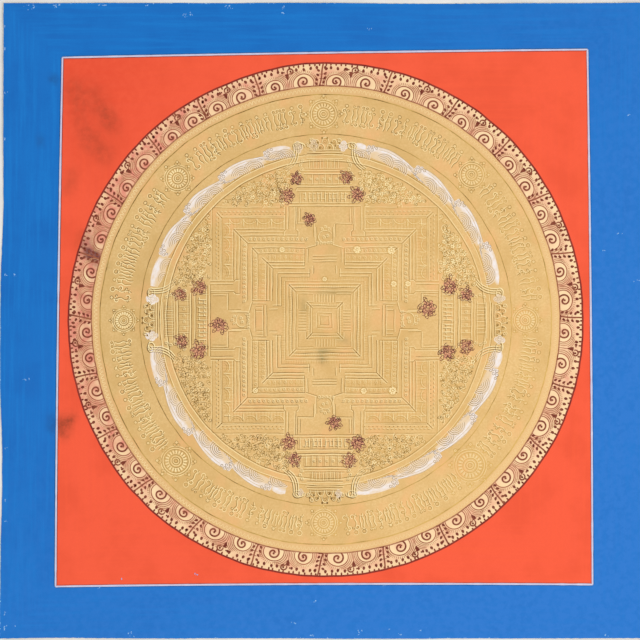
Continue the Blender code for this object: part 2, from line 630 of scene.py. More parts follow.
class SharedGroups:
    """The effects that several finishes use, each built once as a node group."""

    @staticmethod
    def start(name: str, inputs: dict[str, str], outputs: dict[str, str]) -> tuple[Graph, dict, dict]:
        """A new group with its named sockets.

        Args:
            name: the group's name.
            inputs, outputs: the kind of each named socket.

        Returns:
            Its graph, the sockets that it is given and the sockets that it gives.
        """
        tree = bpy.data.node_groups.new(name, "ShaderNodeTree")
        for side, sockets in (("INPUT", inputs), ("OUTPUT", outputs)):
            for key, kind in sockets.items():
                tree.interface.new_socket(name=key, in_out=side, socket_type=f"NodeSocket{kind}")
        return Graph(tree), tree.nodes.new("NodeGroupInput").outputs, tree.nodes.new("NodeGroupOutput").inputs

    @cached_property
    def cotton_grain(self) -> bpy.types.NodeTree:
        """Height of the primed cotton: two crossed sets of threads under a ground that partly fills them.

        Returns:
            A group with inputs Threads (wave scale) and Filled, and an output Height.
        """
        graph, given, out = self.start("cotton_grain", {"Threads": "Float", "Filled": "Float"},
                                       {"Height": "Float"})
        spot = graph.place()
        wave = {"Vector": spot, "Scale": given["Threads"], "Distortion": 1.5, "Detail": 1.0,
                "Detail Scale": 0.4}
        threads = [graph.node("ShaderNodeTexWave", wave, bands_direction=way).outputs["Fac"] for way in "XY"]
        weave = graph.maths("MAXIMUM", *threads)
        lumps = graph.noise(spot, 900.0, 2.0)
        graph.link(graph.blend(given["Filled"], weave, lumps), out["Height"])
        return graph.tree

    @cached_property
    def brushwork(self) -> bpy.types.NodeTree:
        """Uneven paint: long streaks along the sides, and broad patches of thicker and thinner paint.

        Returns:
            A group with inputs Paint, Thick, Thin, Streaks and Patches, and outputs Colour and Streak.
        """
        kinds = {"Paint": "Color", "Thick": "Color", "Thin": "Color", "Streaks": "Float", "Patches": "Float"}
        graph, given, out = self.start("brushwork", kinds, {"Colour": "Color", "Streak": "Float"})
        flat = graph.noise(graph.place((14.0, 330.0, 1.0)), 1.0, 4.0, 0.6)
        upright = graph.noise(graph.place((330.0, 14.0, 1.0)), 1.0, 4.0, 0.6)
        split = graph.node("ShaderNodeSeparateXYZ", {0: graph.place()}).outputs
        wide, tall = (graph.maths("ABSOLUTE", split[axis]) for axis in (0, 1))
        at_side = graph.ramp(graph.maths("SUBTRACT", wide, tall), -0.006, 0.006)
        streak = graph.blend(at_side, flat, upright)
        streak_mask = graph.times(graph.ramp(streak, 0.42, 0.68), given["Streaks"])
        patch = graph.noise(graph.place(), 26.0, 4.0, 0.6)
        patch_mask = graph.times(graph.ramp(patch, 0.40, 0.66), given["Patches"])
        thick = graph.mix(patch_mask, given["Paint"], given["Thick"])
        graph.link(graph.mix(streak_mask, thick, given["Thin"]), out["Colour"])
        graph.link(streak, out["Streak"])
        return graph.tree

    @cached_property
    def soiling(self) -> bpy.types.NodeTree:
        """Soot and finger marks where the mesh's soil value says, broken up by a fine noise.

        Returns:
            A group with inputs Paint and Soil, and an output Colour.
        """
        graph, given, out = self.start("soiling", {"Paint": "Color", "Soil": "Color"}, {"Colour": "Color"})
        broken = graph.ramp(graph.noise(graph.place(), 190.0, 5.0, 0.65), 0.30, 0.66, 0.45, 1.1)
        mask = graph.times(graph.value("soil"), broken)
        graph.link(graph.mix(mask, given["Paint"], given["Soil"]), out["Colour"])
        return graph.tree


GROUPS = SharedGroups()


def new_material(name: str, specular: float, metallic: float = 0.0,
                 shown: Colour = (0.8, 0.8, 0.8, 1.0)) -> tuple[bpy.types.Material, Graph, dict[str, Socket]]:
    """A new material.

    Args:
        name: its name.
        specular, metallic: constants of its shader.
        shown: its colour where materials aren't rendered.

    Returns:
        The material, its graph and its shader's inputs.
    """
    material = bpy.data.materials.new(name)
    material.use_nodes = True
    material.diffuse_color = shown
    shader = material.node_tree.nodes["Principled BSDF"].inputs
    shader["Metallic"].default_value = metallic
    shader["Specular IOR Level"].default_value = specular
    return material, Graph(material.node_tree), shader


@dataclass(frozen=True)
class PaintFinish:
    """A ground of paint: brushed, patchy and soiled, over the grain of the cotton; some grounds also carry
    painted light or painted shade.
    """

    name: str
    paint: Colour
    thick: Colour
    thin: Colour
    soil: Colour
    roughness: float = 0.86
    metallic: float = 0.0
    specular: float = 0.25
    streaks: float = 0.55
    patches: float = 0.5
    grain: float = 0.00006
    speckle: float = 0.15
    blush_and_painted_light: Colour | None = None
    flecks: Colour | None = None

    def build(self) -> bpy.types.Material:
        """Makes the material.

        Returns:
            A material that reads the values soil, and blush and rim where it has those colours. Its blush
            colour is painted light on the blue border, painted shade on the orange field, and the paint's own
            tone elsewhere.
        """
        material, graph, shader = new_material(self.name, self.specular, self.metallic, self.paint)
        brushed = graph.group(GROUPS.brushwork, {"Paint": self.paint, "Thick": self.thick, "Thin": self.thin,
                                                 "Streaks": self.streaks, "Patches": self.patches})
        fine = graph.ramp(graph.noise(graph.place(), 650.0, 4.0, 0.7), 0.36, 0.60)
        colour = graph.mix(graph.times(fine, self.speckle), brushed["Colour"], self.thick)
        # Mixed in by the blush value: painted light on the blue border, painted shade on the orange field,
        # and the paint's own tone on the ring and the gold.
        if self.blush_and_painted_light is not None:
            cloudy = graph.ramp(graph.noise(graph.place(), 240.0, 3.0), 0.3, 0.7, 0.6, 1.15)
            colour = graph.mix(graph.times(graph.value("blush_and_painted_light"), cloudy), colour, self.blush_and_painted_light)
        colour = graph.group(GROUPS.soiling, {"Paint": colour, "Soil": self.soil})["Colour"]
        if self.flecks is not None:
            specks = graph.noise(graph.place(), 420.0, 4.0, 0.7)
            near = graph.ramp(graph.value("rim"), 0.0, 0.0016, 0.50, 0.30)
            worn = graph.ramp(graph.maths("ADD", specks, near), 1.06, 1.12)
            colour = graph.mix(worn, colour, self.flecks)
        graph.link(colour, shader["Base Color"])
        rough = graph.ramp(brushed["Streak"], 0.3, 0.7, self.roughness - 0.07, self.roughness + 0.05)
        graph.link(rough, shader["Roughness"])
        threads = graph.group(GROUPS.cotton_grain, {"Threads": 340.0, "Filled": 0.65})["Height"]
        height = graph.maths("MULTIPLY_ADD", brushed["Streak"], 0.8, threads)
        bump = graph.node("ShaderNodeBump", {"Strength": 0.5, "Distance": self.grain, "Height": height})
        graph.link(bump.outputs[0], shader["Normal"])
        return material


@dataclass(frozen=True)
class InkFinish:
    """Paint of lines and drops: full where the brush was loaded, thin over its ground where it is rubbed."""

    name: str
    ink: Colour
    thin: Colour
    roughness: float = 0.7
    metallic: float = 0.0
    specular: float = 0.3

    def build(self) -> bpy.types.Material:
        """Makes the material.

        Returns:
            The material, which is the one already made where its name is known.
        """
        if self.name in bpy.data.materials:
            return bpy.data.materials[self.name]
        material, graph, shader = new_material(self.name, self.specular, self.metallic, self.ink)
        uneven = graph.ramp(graph.noise(graph.place(), 520.0, 3.0, 0.6), 0.25, 0.75, 0.78, 1.12)
        share = graph.times(graph.value("load"), uneven)
        graph.link(graph.mix(share, self.thin, self.ink), shader["Base Color"])
        rough = graph.ramp(share, 0.0, 1.0, self.roughness + 0.1, self.roughness)
        graph.link(rough, shader["Roughness"])
        return material


# The painting's parts


@dataclass(frozen=True)
class Soil:
    """Where the painting is soiled: x, y and half sizes in millimetres, turn in degrees, and depth."""

    marks: tuple = (
        (-188.7, 172.7, 8, 12, 0, 0.20), (-173, 166, 11, 15, -40, 0.24), (-160, 150, 7, 12, -25, 0.36),
        (-175, 137, 9, 13, -30, 0.30), (-184, 155, 6, 10, 0, 0.20), (-163, 125, 9, 9, 0, 0.20),
        (-190, 104, 6, 12, 20, 0.20), (-195, -79.5, 6, 9, 0, 0.66), (-188.7, -73.3, 3.5, 5, 30, 0.50),
        (-204, -77, 4, 8, 0, 0.35), (-171.8, 48, 5.5, 11, 127, 0.95), (-177.3, 60, 7, 9, 0, 0.40),
        (-202, 181, 4, 4, 0, 0.45), (-212, 135, 3, 5, 0, 0.35), (-125, 5, 55, 75, 0, 0.09),
        (-182, 0, 10, 50, 0, 0.07), (-0.5, -27.5, 3.5, 5, 0, 0.75), (1.5, -22.5, 7.5, 1.8, -8, 0.50),
        (7, 21.5, 14, 1.8, 0, 0.40), (15, -14, 6.5, 3, 20, 0.35), (-14, 11, 2.8, 7, 0, 0.35))

    def at(self, x: Array, y: Array) -> Array:
        """Soil at each place.

        Formula: the sum over the marks of depth*exp(-q^1.5), where q is the squared distance from the mark's
        middle in its turned half sizes.

        Args:
            x, y: places on the cloth.

        Returns:
            Share of soil, 0 to 1.
        """
        total = np.zeros_like(x)
        for middle_x, middle_y, half_x, half_y, turn, depth in self.marks:
            away = turned(x - middle_x * MM, y - middle_y * MM, -math.radians(turn))
            squared = (away[..., 0] / (half_x * MM)) ** 2 + (away[..., 1] / (half_y * MM)) ** 2
            total += depth * np.exp(-squared ** 1.5)
        return np.clip(total, 0, 1)


@dataclass
class PaintedCotton:
    """The cloth itself: blue border paint above, bare primed cotton below and along the cut."""

    lie: ClothLie
    soil: Soil
    cells: int = 150
    wander: float = 0.00016
    at_cut: Pair = (0.236, 0.2338)

    def finishes(self) -> list[bpy.types.Material]:
        """The blue paint of the border, and the bare primed cotton.

        Returns:
            Both materials, in this order.
        """
        # The blue's blush colour is a lighter blue: painted light, mixed in more towards the lower right.
        blue = PaintFinish("border_blue", tint(12, 110, 192), tint(8, 100, 182), tint(26, 126, 206),
                           tint(28, 66, 120), roughness=0.84, streaks=0.5, patches=0.7,
                           blush_and_painted_light=tint(43, 118, 201), flecks=tint(150, 190, 226)).build()
        bare = PaintFinish("primed_cotton", tint(214, 204, 184), tint(198, 186, 162), tint(226, 218, 202),
                           tint(150, 132, 100), roughness=0.95, streaks=0.2, patches=0.7,
                           grain=0.00014).build()
        return [blue, bare]

    def build(self) -> None:
        """Makes the sheet.

        Formula: a grid over the cut outline, once at the cotton's top and once at its underside, joined round
        the rim by a wall whose middle stands out by a fifth of the cloth's body.
        """
        side = self.cells + 1
        u, v = np.meshgrid(np.linspace(0, 1, side), np.linspace(0, 1, side))
        x, y = self.lie.outline(u, v)
        ragged = np.sin(x * 1900 + 3 * np.sin(y * 700)) * np.sin(y * 2300 + 2 * np.sin(x * 900))
        x = x + np.where((u == 0) | (u == 1), ragged * self.wander, 0)
        y = y + np.where((v == 0) | (v == 1), ragged * self.wander, 0)
        under = self.lie.lift(x, y)
        upper = np.stack((x, y, under + self.lie.body), axis=-1).reshape(-1, 3)
        lower = np.stack((x, y, under), axis=-1).reshape(-1, 3)
        number = np.arange(side * side).reshape(side, side)
        rim = rim_of(number)
        outward = np.sign(upper[rim, :2]) * (np.abs(upper[rim, :2]) > self.at_cut)
        waist = upper[rim].copy()
        waist[:, :2] += outward * self.lie.body * 0.2
        waist[:, 2] -= self.lie.body * 0.5
        points = np.concatenate((upper, lower, waist))
        middle = 2 * side * side + np.arange(len(rim))
        cells = grid_faces(1, side, side)
        faces = [cells, cells[:, ::-1] + side * side, wall(rim, middle), wall(middle, rim + side * side)]
        slots = np.concatenate([np.full(len(part), slot) for part, slot in zip(faces, (0, 1, 1, 1))])
        x, y = points[:, 0], points[:, 1]
        edge = np.minimum(self.lie.width / 2 - np.abs(x), self.lie.height / 2 - np.abs(y))
        # Painted light: the blush value grows from the top left corner to the bottom right one, so the blue
        # border is painted lighter towards the key light.
        values = {"soil": self.soil.at(x, y), "rim": np.clip(edge, 0, 0.02),
                  "blush_and_painted_light": ease(0.5 + (x - y) / 0.6)}
        cloth = mesh_object("painted_cotton_sheet", points, faces, values, self.finishes(), slots)
        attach(cloth, BODY)
        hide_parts(NODE)
        LOG.info("cloth: %d points", len(points))


@dataclass
class Mandala:
    """Where the mandala stands on the cloth, and the radii of its rings."""

    x: float = 0.0020
    y: float = 0.0006
    outer: float = 0.1930
    inner: float = 0.1758
    uneven: tuple = (
        -0.2, 0.35, 0.65, 0.15, -0.1, 0.75, -0.2, -0.4, -0.7, -0.2, 0.7, 0.45, 0, -0.3, 0.05, -1.1)

    def wander(self, angle: Array) -> Array:
        """How far the drawn circles leave the true one: a smooth step between evenly spaced distances.

        Args:
            angle: clockwise from the top.

        Returns:
            Distance outwards at each angle, in metres.
        """
        values = np.array(self.uneven) * MM
        place = (angle / TAU * len(values)) % len(values)
        low = np.floor(place).astype(int) % len(values)
        return values[low] + (values[(low + 1) % len(values)] - values[low]) * ease(place - np.floor(place))

    def polar(self, angle: Array, radius: Array) -> Array:
        """Places at angles clockwise from the top.

        Formula: (x + r*sin a, y + r*cos a); from the clouds outwards, r takes up the circles' unevenness.

        Args:
            angle, radius: arrays that fit together.

        Returns:
            (..., 2) places.
        """
        radius = radius + self.wander(np.asarray(angle)) * ease((radius - 0.120) / 0.050)
        return pair(self.x + radius * np.sin(angle), self.y + radius * np.cos(angle))

    def ring(self, radius: float, places: int) -> Array:
        """A circle, clockwise from the top."""
        return self.polar(np.linspace(0, TAU, places), np.full(places, radius))

    def bent(self, curve: Array, angles: Array, base: float, flip: Number = 1.0, size: Number = 1.0) -> Array:
        """A curve bent round the mandala at many angles.

        Formula: x over the base radius becomes an angle, and y is added to that radius, both scaled.

        Args:
            curve: (points, 2), x along the ring and y outwards.
            angles: (copies,) clockwise from the top.
            base: the radius where y is 0.
            flip: 1, or -1 to mirror.
            size: scale of each copy.

        Returns:
            (copies, points, 2) places.
        """
        flip, size = (np.broadcast_to(value, angles.shape)[:, None] for value in (flip, size))
        turn = angles[:, None] + flip * size * curve[None, :, 0] / base
        return self.polar(turn, base + size * curve[None, :, 1])

    def spot(self, x: float, y: float, angles: Array, base: float, *scaling: Number) -> Array:
        """The point (x, y) bent round the mandala at many angles, (copies, 2)."""
        return self.bent(np.array(((x, y),)), angles, base, *scaling)[:, 0]


@dataclass
class RuledField:
    """The orange-red field inside a hand-ruled white line, a little out of square as it was drawn."""

    lie: ClothLie
    hand: Hand
    soil: Soil
    corners: tuple = ((-195.5, 197.4), (198.2, 203.4), (202, -197.8), (-200.7, -199.3))
    bows: tuple = (0.6, 0.7, -1.1, 0.8)
    # Strength of the dark lines on both sides of the white one, for the top, right, bottom and left sides:
    # partly a dark outline and partly painted shadow, strongest along the top and the left.
    darks: tuple = (0.95, 0.6, 0.65, 1.05)
    line: float = 0.00148
    beside: float = 0.66
    cells: int = 110

    def side(self, number: int, places: int) -> Array:
        """Points of one side, bowed outwards, from its corner clockwise to the next."""
        return bow(self.corners[number], self.corners[(number + 1) % 4], self.bows[number], places) * MM

    def build(self) -> None:
        """Makes the field's film and the white line round it.

        Formula: the film is the Coons patch of the four sides, which blends opposite sides and takes the
        blended corners away once.
        """
        share = np.linspace(0, 1, self.cells)
        top, right = self.side(0, self.cells), self.side(1, self.cells)
        bottom, left = self.side(2, self.cells)[::-1], self.side(3, self.cells)[::-1]
        u, v = share[None, :, None], share[:, None, None]
        ruled = (1 - v) * top[None] + v * bottom[None] + (1 - u) * left[:, None] + u * right[:, None]
        place = ruled - ((1 - u) * (1 - v) * top[0] + u * (1 - v) * top[-1]
                         + (1 - u) * v * bottom[0] + u * v * bottom[-1])
        orange = PaintFinish("field_orange_red", tint(246, 92, 60), tint(233, 84, 52), tint(252, 102, 66),
                             tint(112, 54, 30), roughness=0.88, streaks=0.22, patches=0.75,
                             blush_and_painted_light=tint(233, 80, 50)).build()
        film = Relief("orange_field", self.lie, self.hand)
        film.films(place[None], Layer.FIELD)
        # Painted shade: round the field's top left corner the orange is mixed towards a darker red by the
        # blush value.
        film.build(orange, soil=self.soil.at,
                   blush_and_painted_light=lambda x, y: np.exp(-((x + 0.19) ** 2 + (y - 0.19) ** 2) / 0.0055))

        white = InkFinish("ruled_white", tint(211, 208, 228), tint(150, 160, 196), roughness=0.8).build()
        line = Relief("ruled_white_line", self.lie, self.hand)
        grey = InkFinish("line_edge_grey", tint(96, 52, 56), tint(206, 84, 60), roughness=0.85).build()
        edge = Relief("ruled_line_edge", self.lie, self.hand)
        shade = InkFinish("line_edge_blue", tint(30, 78, 122), tint(24, 104, 178), roughness=0.85).build()
        brim = Relief("ruled_line_brim", self.lie, self.hand)
        rng = np.random.default_rng(5)
        for number, dark in enumerate(self.darks):
            path = self.side(number, 90)
            run = path[-1] - path[0]
            inward = np.array((run[1], -run[0])) / np.hypot(*run)
            width = self.line * (1 + 0.10 * rng.standard_normal(len(path)))
            line.lines(path, width, Layer.LINE, rubbed=0.35, taper=0.1, bold=True, steady=True)
            # A dark line on each side of the white one, grey on the orange and dark blue on the blue: partly
            # outline, partly painted shadow.
            for target, way, wide in ((edge, 1, 0.62), (brim, -1, 0.5)):
                target.lines(path + inward * way * self.line * self.beside, self.line * wide, Layer.WASH,
                             strength=dark, rubbed=0.5, taper=0.1, steady=True)
        line.build(white)
        edge.build(grey)
        brim.build(shade)


@dataclass
class ScrollRing:
    """The cream outer ring: paired spirals under domes, set between slanted leafy bars."""

    lie: ClothLie
    hand: Hand
    soil: Soil
    mandala: Mandala
    drift: tuple = (
        -1, -0.3, 0.8, 0.7, 0.1, -0.8, -0.7, 0.6, 0.5, 0.6, 1.2, 1.2, 1.3, 1.9, 2.4, 3, 2.5, 2, 0.7, 0.3, 0,
        0.6, -0.5, -1.3)
    nudge: tuple = (
        -0.7, 0.4, -0.25, 0.25, 0.1, 0.2, -0.45, 0, 0, 0.1, -0.2, 0, 0.05, -0.35, -0.15, -0.2, -0.1, 0.25,
        0.25, 0.6, -0.45, 0.65, -0.4, -0.1)
    dome: Pair = (0.0077, 0.0071)
    dome_low: float = 0.0027
    clear: float = 0.0108
    dome_at: Pair = (0.258, 0.725)
    spindle_at: float = 0.482
    bold: float = 0.00132
    thin: float = 0.00080
    sunk: float = -0.00005
    leaves: tuple = ((0.0022, 0.0026), (0.0053, 0.0029), (0.0087, 0.0026), (0.0121, 0.0027))
    hanging: tuple = (0.070, 0.150, 0.250, 0.350, 0.630, 0.730, 0.830, 0.920)
    teeth: int = 300

    def __post_init__(self) -> None:
        """Works out where each unit starts, its width, and the middles of its domes and spindle."""
        count = len(self.drift)
        self.starts = np.radians(np.arange(count) * 360 / count + np.array(self.drift))
        self.widths = (np.roll(self.starts, -1) - self.starts) % TAU
        nudged = self.starts + np.radians(self.nudge)
        self.domes = np.concatenate([nudged + self.widths * share for share in self.dome_at])
        self.flips = np.repeat(BOTH_WAYS, count)
        self.sizes = np.repeat((0.90, 1.0), count)
        self.at_domes = (self.domes, self.mandala.inner, self.flips, self.sizes)
        self.spindles = nudged + self.widths * self.spindle_at
        self.height = self.mandala.outer - self.mandala.inner

    def blush_and_painted_light(self, x: Array, y: Array) -> Array:
        """How pink the ring is: inside the spirals, round the spindles and bars, and more on its left.

        Args:
            x, y: places on the cloth.

        Returns:
            Share of pink at each place, 0 to 1.
        """
        dx, dy = x - self.mandala.x, y - self.mandala.y
        angle, rise = np.arctan2(dx, dy) % TAU, np.hypot(dx, dy) - self.mandala.inner
        base = self.mandala.inner
        apart = np.abs((angle[:, None] - self.domes[None] + np.pi) % TAU - np.pi).min(axis=1) * base
        away = np.hypot(apart / self.dome[0], (rise - self.dome_low) / self.dome[1])
        pink = 0.06 + 0.42 * ease((away - 0.92) / 0.25) * (1 - 0.7 * ease((rise - 0.0105) / 0.003))
        pink += 0.45 * np.exp(-((away - 0.22) / 0.20) ** 2)
        left = np.exp(-(((angle - math.radians(282)) / 0.84) ** 2))
        uneven = self.hand.waves(x, y, 0.035, 2.2)
        return np.clip(pink + 0.80 * left * (0.8 + 0.4 * uneven) + 0.16 * uneven, 0, 1)

    def ground(self) -> None:
        """The ring's cream film: a grid of angle and radius, closed on itself."""
        around, across = 900, 13
        angle = np.arange(around) * TAU / around
        radius = np.linspace(self.mandala.inner, self.mandala.outer, across)
        place = self.mandala.polar(angle[None, :], radius[:, None])
        film = Relief("scroll_ring_ground", self.lie, self.hand)
        film.films(place[None], Layer.RING, wrap=True)
        cream = PaintFinish("ring_cream", tint(250, 219, 170), tint(246, 207, 156), tint(253, 228, 184),
                            tint(104, 54, 56), roughness=0.85, streaks=0.1, patches=0.6,
                            blush_and_painted_light=tint(228, 144, 120)).build()
        film.build(cream, soil=self.soil.at, blush_and_painted_light=self.blush_and_painted_light)

    def spirals(self, ink: Relief) -> None:
        """The bold spirals: from the inner line by the spindle, up, over and round into a blob.

        Args:
            ink: the relief that takes them.
        """
        curl = spiral((-0.0001, 0.0038), (0.0047, 0.0011), -0.94, 1.10, 30, 0.9)
        width = self.bold * np.concatenate((np.linspace(1.15, 1.0, 15), np.linspace(1.0, 1.25, 15)))
        ink.lines(self.mandala.bent(curl, *self.at_domes), width, Layer.RAISED, strength=0.86, rubbed=0.12,
                  taper=0.1, bold=True)
        blob = self.mandala.spot(0.0002, 0.0040, *self.at_domes)
        ink.drops(blob, 0.0009, 1.1, self.domes, sides=9, rough=0.1, rubbed=0.1)

    def arcs(self, ink: Relief, fine: Relief) -> None:
        """The domes, the finer arcs outside them, and the rays above.

        Args:
            ink: the relief that takes the domes.
            fine: the relief that takes the rest.
        """
        base, place = self.mandala.inner, self.mandala.bent
        (half, tall), low = self.dome, self.dome_low
        foot = math.asin(low / tall)
        dome = ellipse((0, low), (half, tall), -foot, math.pi + foot, 28)
        ink.lines(place(dome, self.domes, base, 1.0, self.sizes), self.thin * 1.3, strength=0.7, rubbed=0.35,
                  taper=0.3)
        for way, ends in ((1.0, (1.45, 1.30, 1.20, 1.15)), (-1.0, (0.9, 0.7))):
            for step, end in enumerate(ends, 1):
                grown = (half + 0.00140 * step, tall + 0.00115 * step)
                whole = grown[0] < self.clear
                start = -math.asin(low / grown[1]) if whole else math.acos(self.clear / grown[0])
                arc = ellipse((0, low), grown, start, end, 16)
                fine.lines(place(arc, self.domes, base, way * self.flips, self.sizes), self.thin,
                           strength=0.95, rubbed=0.4)
        for angle in np.radians(np.linspace(62, 158, 13)):
            ray = ellipse((0, 0), (half, tall), angle, angle, 1) * ((1.14, 1.12), (1.44, 1.38)) + (0, low)
            fine.lines(place(ray, *self.at_domes), self.thin * 1.1, strength=0.85, rubbed=0.45)

    def spindle(self, ink: Relief) -> None:
        """Between each pair of domes: a stem, a dark triangle, a curl round a dot, and two more dots.

        Args:
            ink: the relief that takes them.
        """
        base, place, spot = self.mandala.inner, self.mandala.bent, self.mandala.spot
        stem = np.array(((0, 0.0002), (0, 0.0040), (0, 0.0080)))
        ink.lines(place(stem, self.spindles, base), self.thin * 0.9, strength=0.7, rubbed=0.4)
        ink.drops(spot(0, 0.0094, self.spindles, base), 0.0015, 1.0, self.spindles + math.pi, tail=1.2,
                  crest=Layer.RAISED, sides=9, rubbed=0.1)
        ink.drops(spot(0, 0.0106, self.spindles, base), 0.0020, 0.40, self.spindles, sides=9, rubbed=0.1)
        curl = spiral((0.0028, 0.0127), (0.0024, 0.0016), 3.7, -0.95, 14)
        ink.lines(place(curl, self.spindles, base), self.thin * 1.7, Layer.RAISED, strength=0.9, rubbed=0.15)
        for x, size in ((0.0028, 0.00085), (-0.0031, 0.00105), (-0.0018, 0.0006)):
            ink.drops(spot(x, 0.0128, self.spindles, base), size, 1.2, self.spindles, crest=Layer.RAISED,
                      rubbed=0.1)

    def bars(self, ink: Relief) -> None:
        """The slanted bars between units, with pairs of leaf drops and a foot.

        Args:
            ink: the relief that takes them.
        """
        base, place = self.mandala.inner, self.mandala.bent
        rng = np.random.default_rng(21)
        lean = rng.uniform(0.0004, 0.0042, len(self.starts))
        foot, head = np.full(len(lean), 0.0003), np.full(len(lean), self.height - 0.0004)
        share = np.linspace(0, 1, 9)
        sway = np.sin(share * 4.2 + 0.6)[None] * 0.0004
        along = lean[:, None] * (share - 0.5) + sway
        rise = foot[:, None] + (head - foot)[:, None] * share
        bar = self.mandala.polar(self.starts[:, None] + along / base, base + rise)
        ink.lines(bar, self.bold * 0.95, Layer.RAISED, strength=0.85, rubbed=0.3, taper=0.0, bold=True)
        for level, (height, out) in enumerate(self.leaves):
            for way in BOTH_WAYS:
                turn = (lean * (height / self.height - 0.5) + way * out) / base
                spot = self.mandala.polar(self.starts + turn, base + height + 0.0005 * way)
                ink.drops(spot, 0.00105, 1.25, self.starts + way * (0.7 + 0.1 * level), tail=0.5,
                          crest=Layer.RAISED, rubbed=0.15)
                if level in (1, 2):
                    twig = np.array(((0.0, height + 0.0001), (way * 0.0016, height + 0.0005)))
                    ink.lines(place(twig, self.starts, base), self.thin)
        for way in BOTH_WAYS:
            root = bow((0.0, 0.0004), (way * 0.0019, 0.0002), 0.0)
            ink.lines(place(root, self.starts, base), self.bold * 0.8, Layer.RAISED, bold=True)

    def fringe(self, ink: Relief) -> None:
        """The row of drops under the outer line, and the short teeth that hang from it.

        Args:
            ink: the relief that takes them.
        """
        base = self.mandala.inner
        rng = np.random.default_rng(8)
        angles = (self.starts[:, None] + self.widths[:, None] * self.hanging).ravel()
        angles = angles + rng.normal(0, 0.0022, len(angles))
        height = 0.0131 + rng.normal(0, 0.0003, len(angles))
        spot = self.mandala.polar(angles, base + height)
        ink.drops(spot, 0.00115, 1.2, angles + rng.normal(0, 0.25, len(angles)), tail=0.3, crest=Layer.RAISED,
                  sides=8, rubbed=0.1)
        angles = np.arange(self.teeth) * TAU / self.teeth + rng.normal(0, 0.0030, self.teeth)
        length = 0.0020 + rng.uniform(-0.0006, 0.0006, self.teeth)
        spot = self.mandala.polar(angles, self.mandala.outer - 0.0006 - length * 0.4)
        ink.drops(spot, 0.00078, length / 0.0014, angles + math.pi, tail=0.3, crest=Layer.RAISED, sides=6,
                  rubbed=0.25)

    def build(self) -> None:
        """Makes the ring's ground and all its inkwork."""
        self.ground()
        maroon = InkFinish("maroon_ink", tint(108, 34, 14), tint(200, 124, 88)).build()
        brown = InkFinish("fine_brown_ink", tint(140, 70, 40), tint(242, 190, 140)).build()
        rim = Relief("scroll_ring_rim", self.lie, self.hand)
        rim.lines(self.mandala.ring(self.mandala.outer - 0.0002, 420), 0.0020, Layer.RAISED, rubbed=0.35,
                  taper=0)
        rim.build(InkFinish("rim_maroon", tint(118, 24, 16), tint(178, 74, 52), roughness=0.75).build())
        ink = Relief("scroll_ring_maroon", self.lie, self.hand, sunk=self.sunk)
        fine = Relief("scroll_ring_fine_lines", self.lie, self.hand, sunk=self.sunk)
        fine.lines(self.mandala.ring(self.mandala.inner, 420), 0.0012, Layer.RAISED, rubbed=0.25, taper=0)
        self.spirals(ink)
        self.arcs(ink, fine)
        self.spindle(ink)
        self.bars(ink)
        self.fringe(ink)
        ink.build(maroon)
        fine.build(brown)


# Painted light on the gold: the pale gold is partly burnished gold and partly a painted highlight, and the
# olive ink partly ink and partly painted shadow, drawn side by side so that the lines look raised.
OLIVE_INK_AND_SHADOW = InkFinish("olive_ink_and_shadow", tint(110, 75, 14), tint(217, 174, 94), roughness=0.6)
PALE_GOLD_AND_HIGHLIGHT = InkFinish("pale_gold_and_highlight", tint(255, 234, 178), tint(238, 203, 143), roughness=0.5)


@dataclass
class GoldInks:
    """The two inks that draw on the gold: olive-brown lines, and raised pale gold ones beside them.

    Side by side, the olive is partly painted shadow and the pale gold partly painted highlight of a raised
    line.
    """

    name: str
    lie: ClothLie
    hand: Hand
    mandala: Mandala
    lean: Pair = (-0.55, -0.55)
    pale_lean: Pair = (0.0, 0.0)
    pale_load: float = 1.0

    def __post_init__(self) -> None:
        """Starts the two reliefs."""
        self.olive = Relief(f"{self.name}_olive_ink_and_shadow", self.lie, self.hand, lean=self.lean)
        self.pale = Relief(f"{self.name}_pale_gold_and_highlight", self.lie, self.hand, phase=2.6, lean=self.pale_lean)

    def draw(self, paths: Array, width: float, strength: float = 0.7, rubbed: float = 0.4, shift: float = 0.0,
             taper: float = 0.35) -> None:
        """An olive line with its pale gold partner beside it.

        The olive is partly painted shadow and the partner partly painted highlight of one raised stroke.

        Args:
            paths, width, strength, rubbed, taper: as for a relief's lines.
            shift: how far the partner stands to the left of the path's direction; none is drawn at 0.
        """
        paths = paths[None] if paths.ndim == 2 else paths
        self.olive.lines(paths, width, Layer.LINE, strength, rubbed, taper)
        if shift:
            beside = paths + left_of(paths) * shift
            self.pale.lines(beside, width * 1.05, Layer.LINE, self.pale_load, 0.6, taper)

    def finish(self) -> None:
        """Makes the two objects of lines."""
        self.olive.build(OLIVE_INK_AND_SHADOW.build())
        self.pale.build(PALE_GOLD_AND_HIGHLIGHT.build())


@dataclass
class GoldDisc:
    """The gold ground of the mandala."""

    lie: ClothLie
    hand: Hand
    soil: Soil
    mandala: Mandala

    def build(self) -> None:
        """A square grid carried onto the disc, x = u*sqrt(1 - v^2/2) and y = v*sqrt(1 - u^2/2)."""
        u, v = np.meshgrid(np.linspace(-1, 1, 121), np.linspace(-1, 1, 121))
        reach = self.mandala.inner + 0.0009
        x = self.mandala.x + reach * u * np.sqrt(1 - v ** 2 / 2)
        y = self.mandala.y + reach * v * np.sqrt(1 - u ** 2 / 2)
        film = Relief("gold_ground", self.lie, self.hand)
        film.films(pair(x, y)[None], Layer.GROUND)
        gold = PaintFinish("ground_gold", tint(229, 190, 127), tint(213, 171, 103), tint(238, 203, 143),
                           tint(128, 122, 72), roughness=0.62, metallic=0.2, specular=0.4, streaks=0.25,
                           speckle=0.6, patches=0.8, grain=0.00008, blush_and_painted_light=tint(236, 180, 118)).build()
        film.build(gold, soil=self.soil.at,
                   blush_and_painted_light=lambda x, y: np.clip(self.hand.waves(x, y, 0.06, 5.0) * 0.8 - 0.2, 0, 0.6))


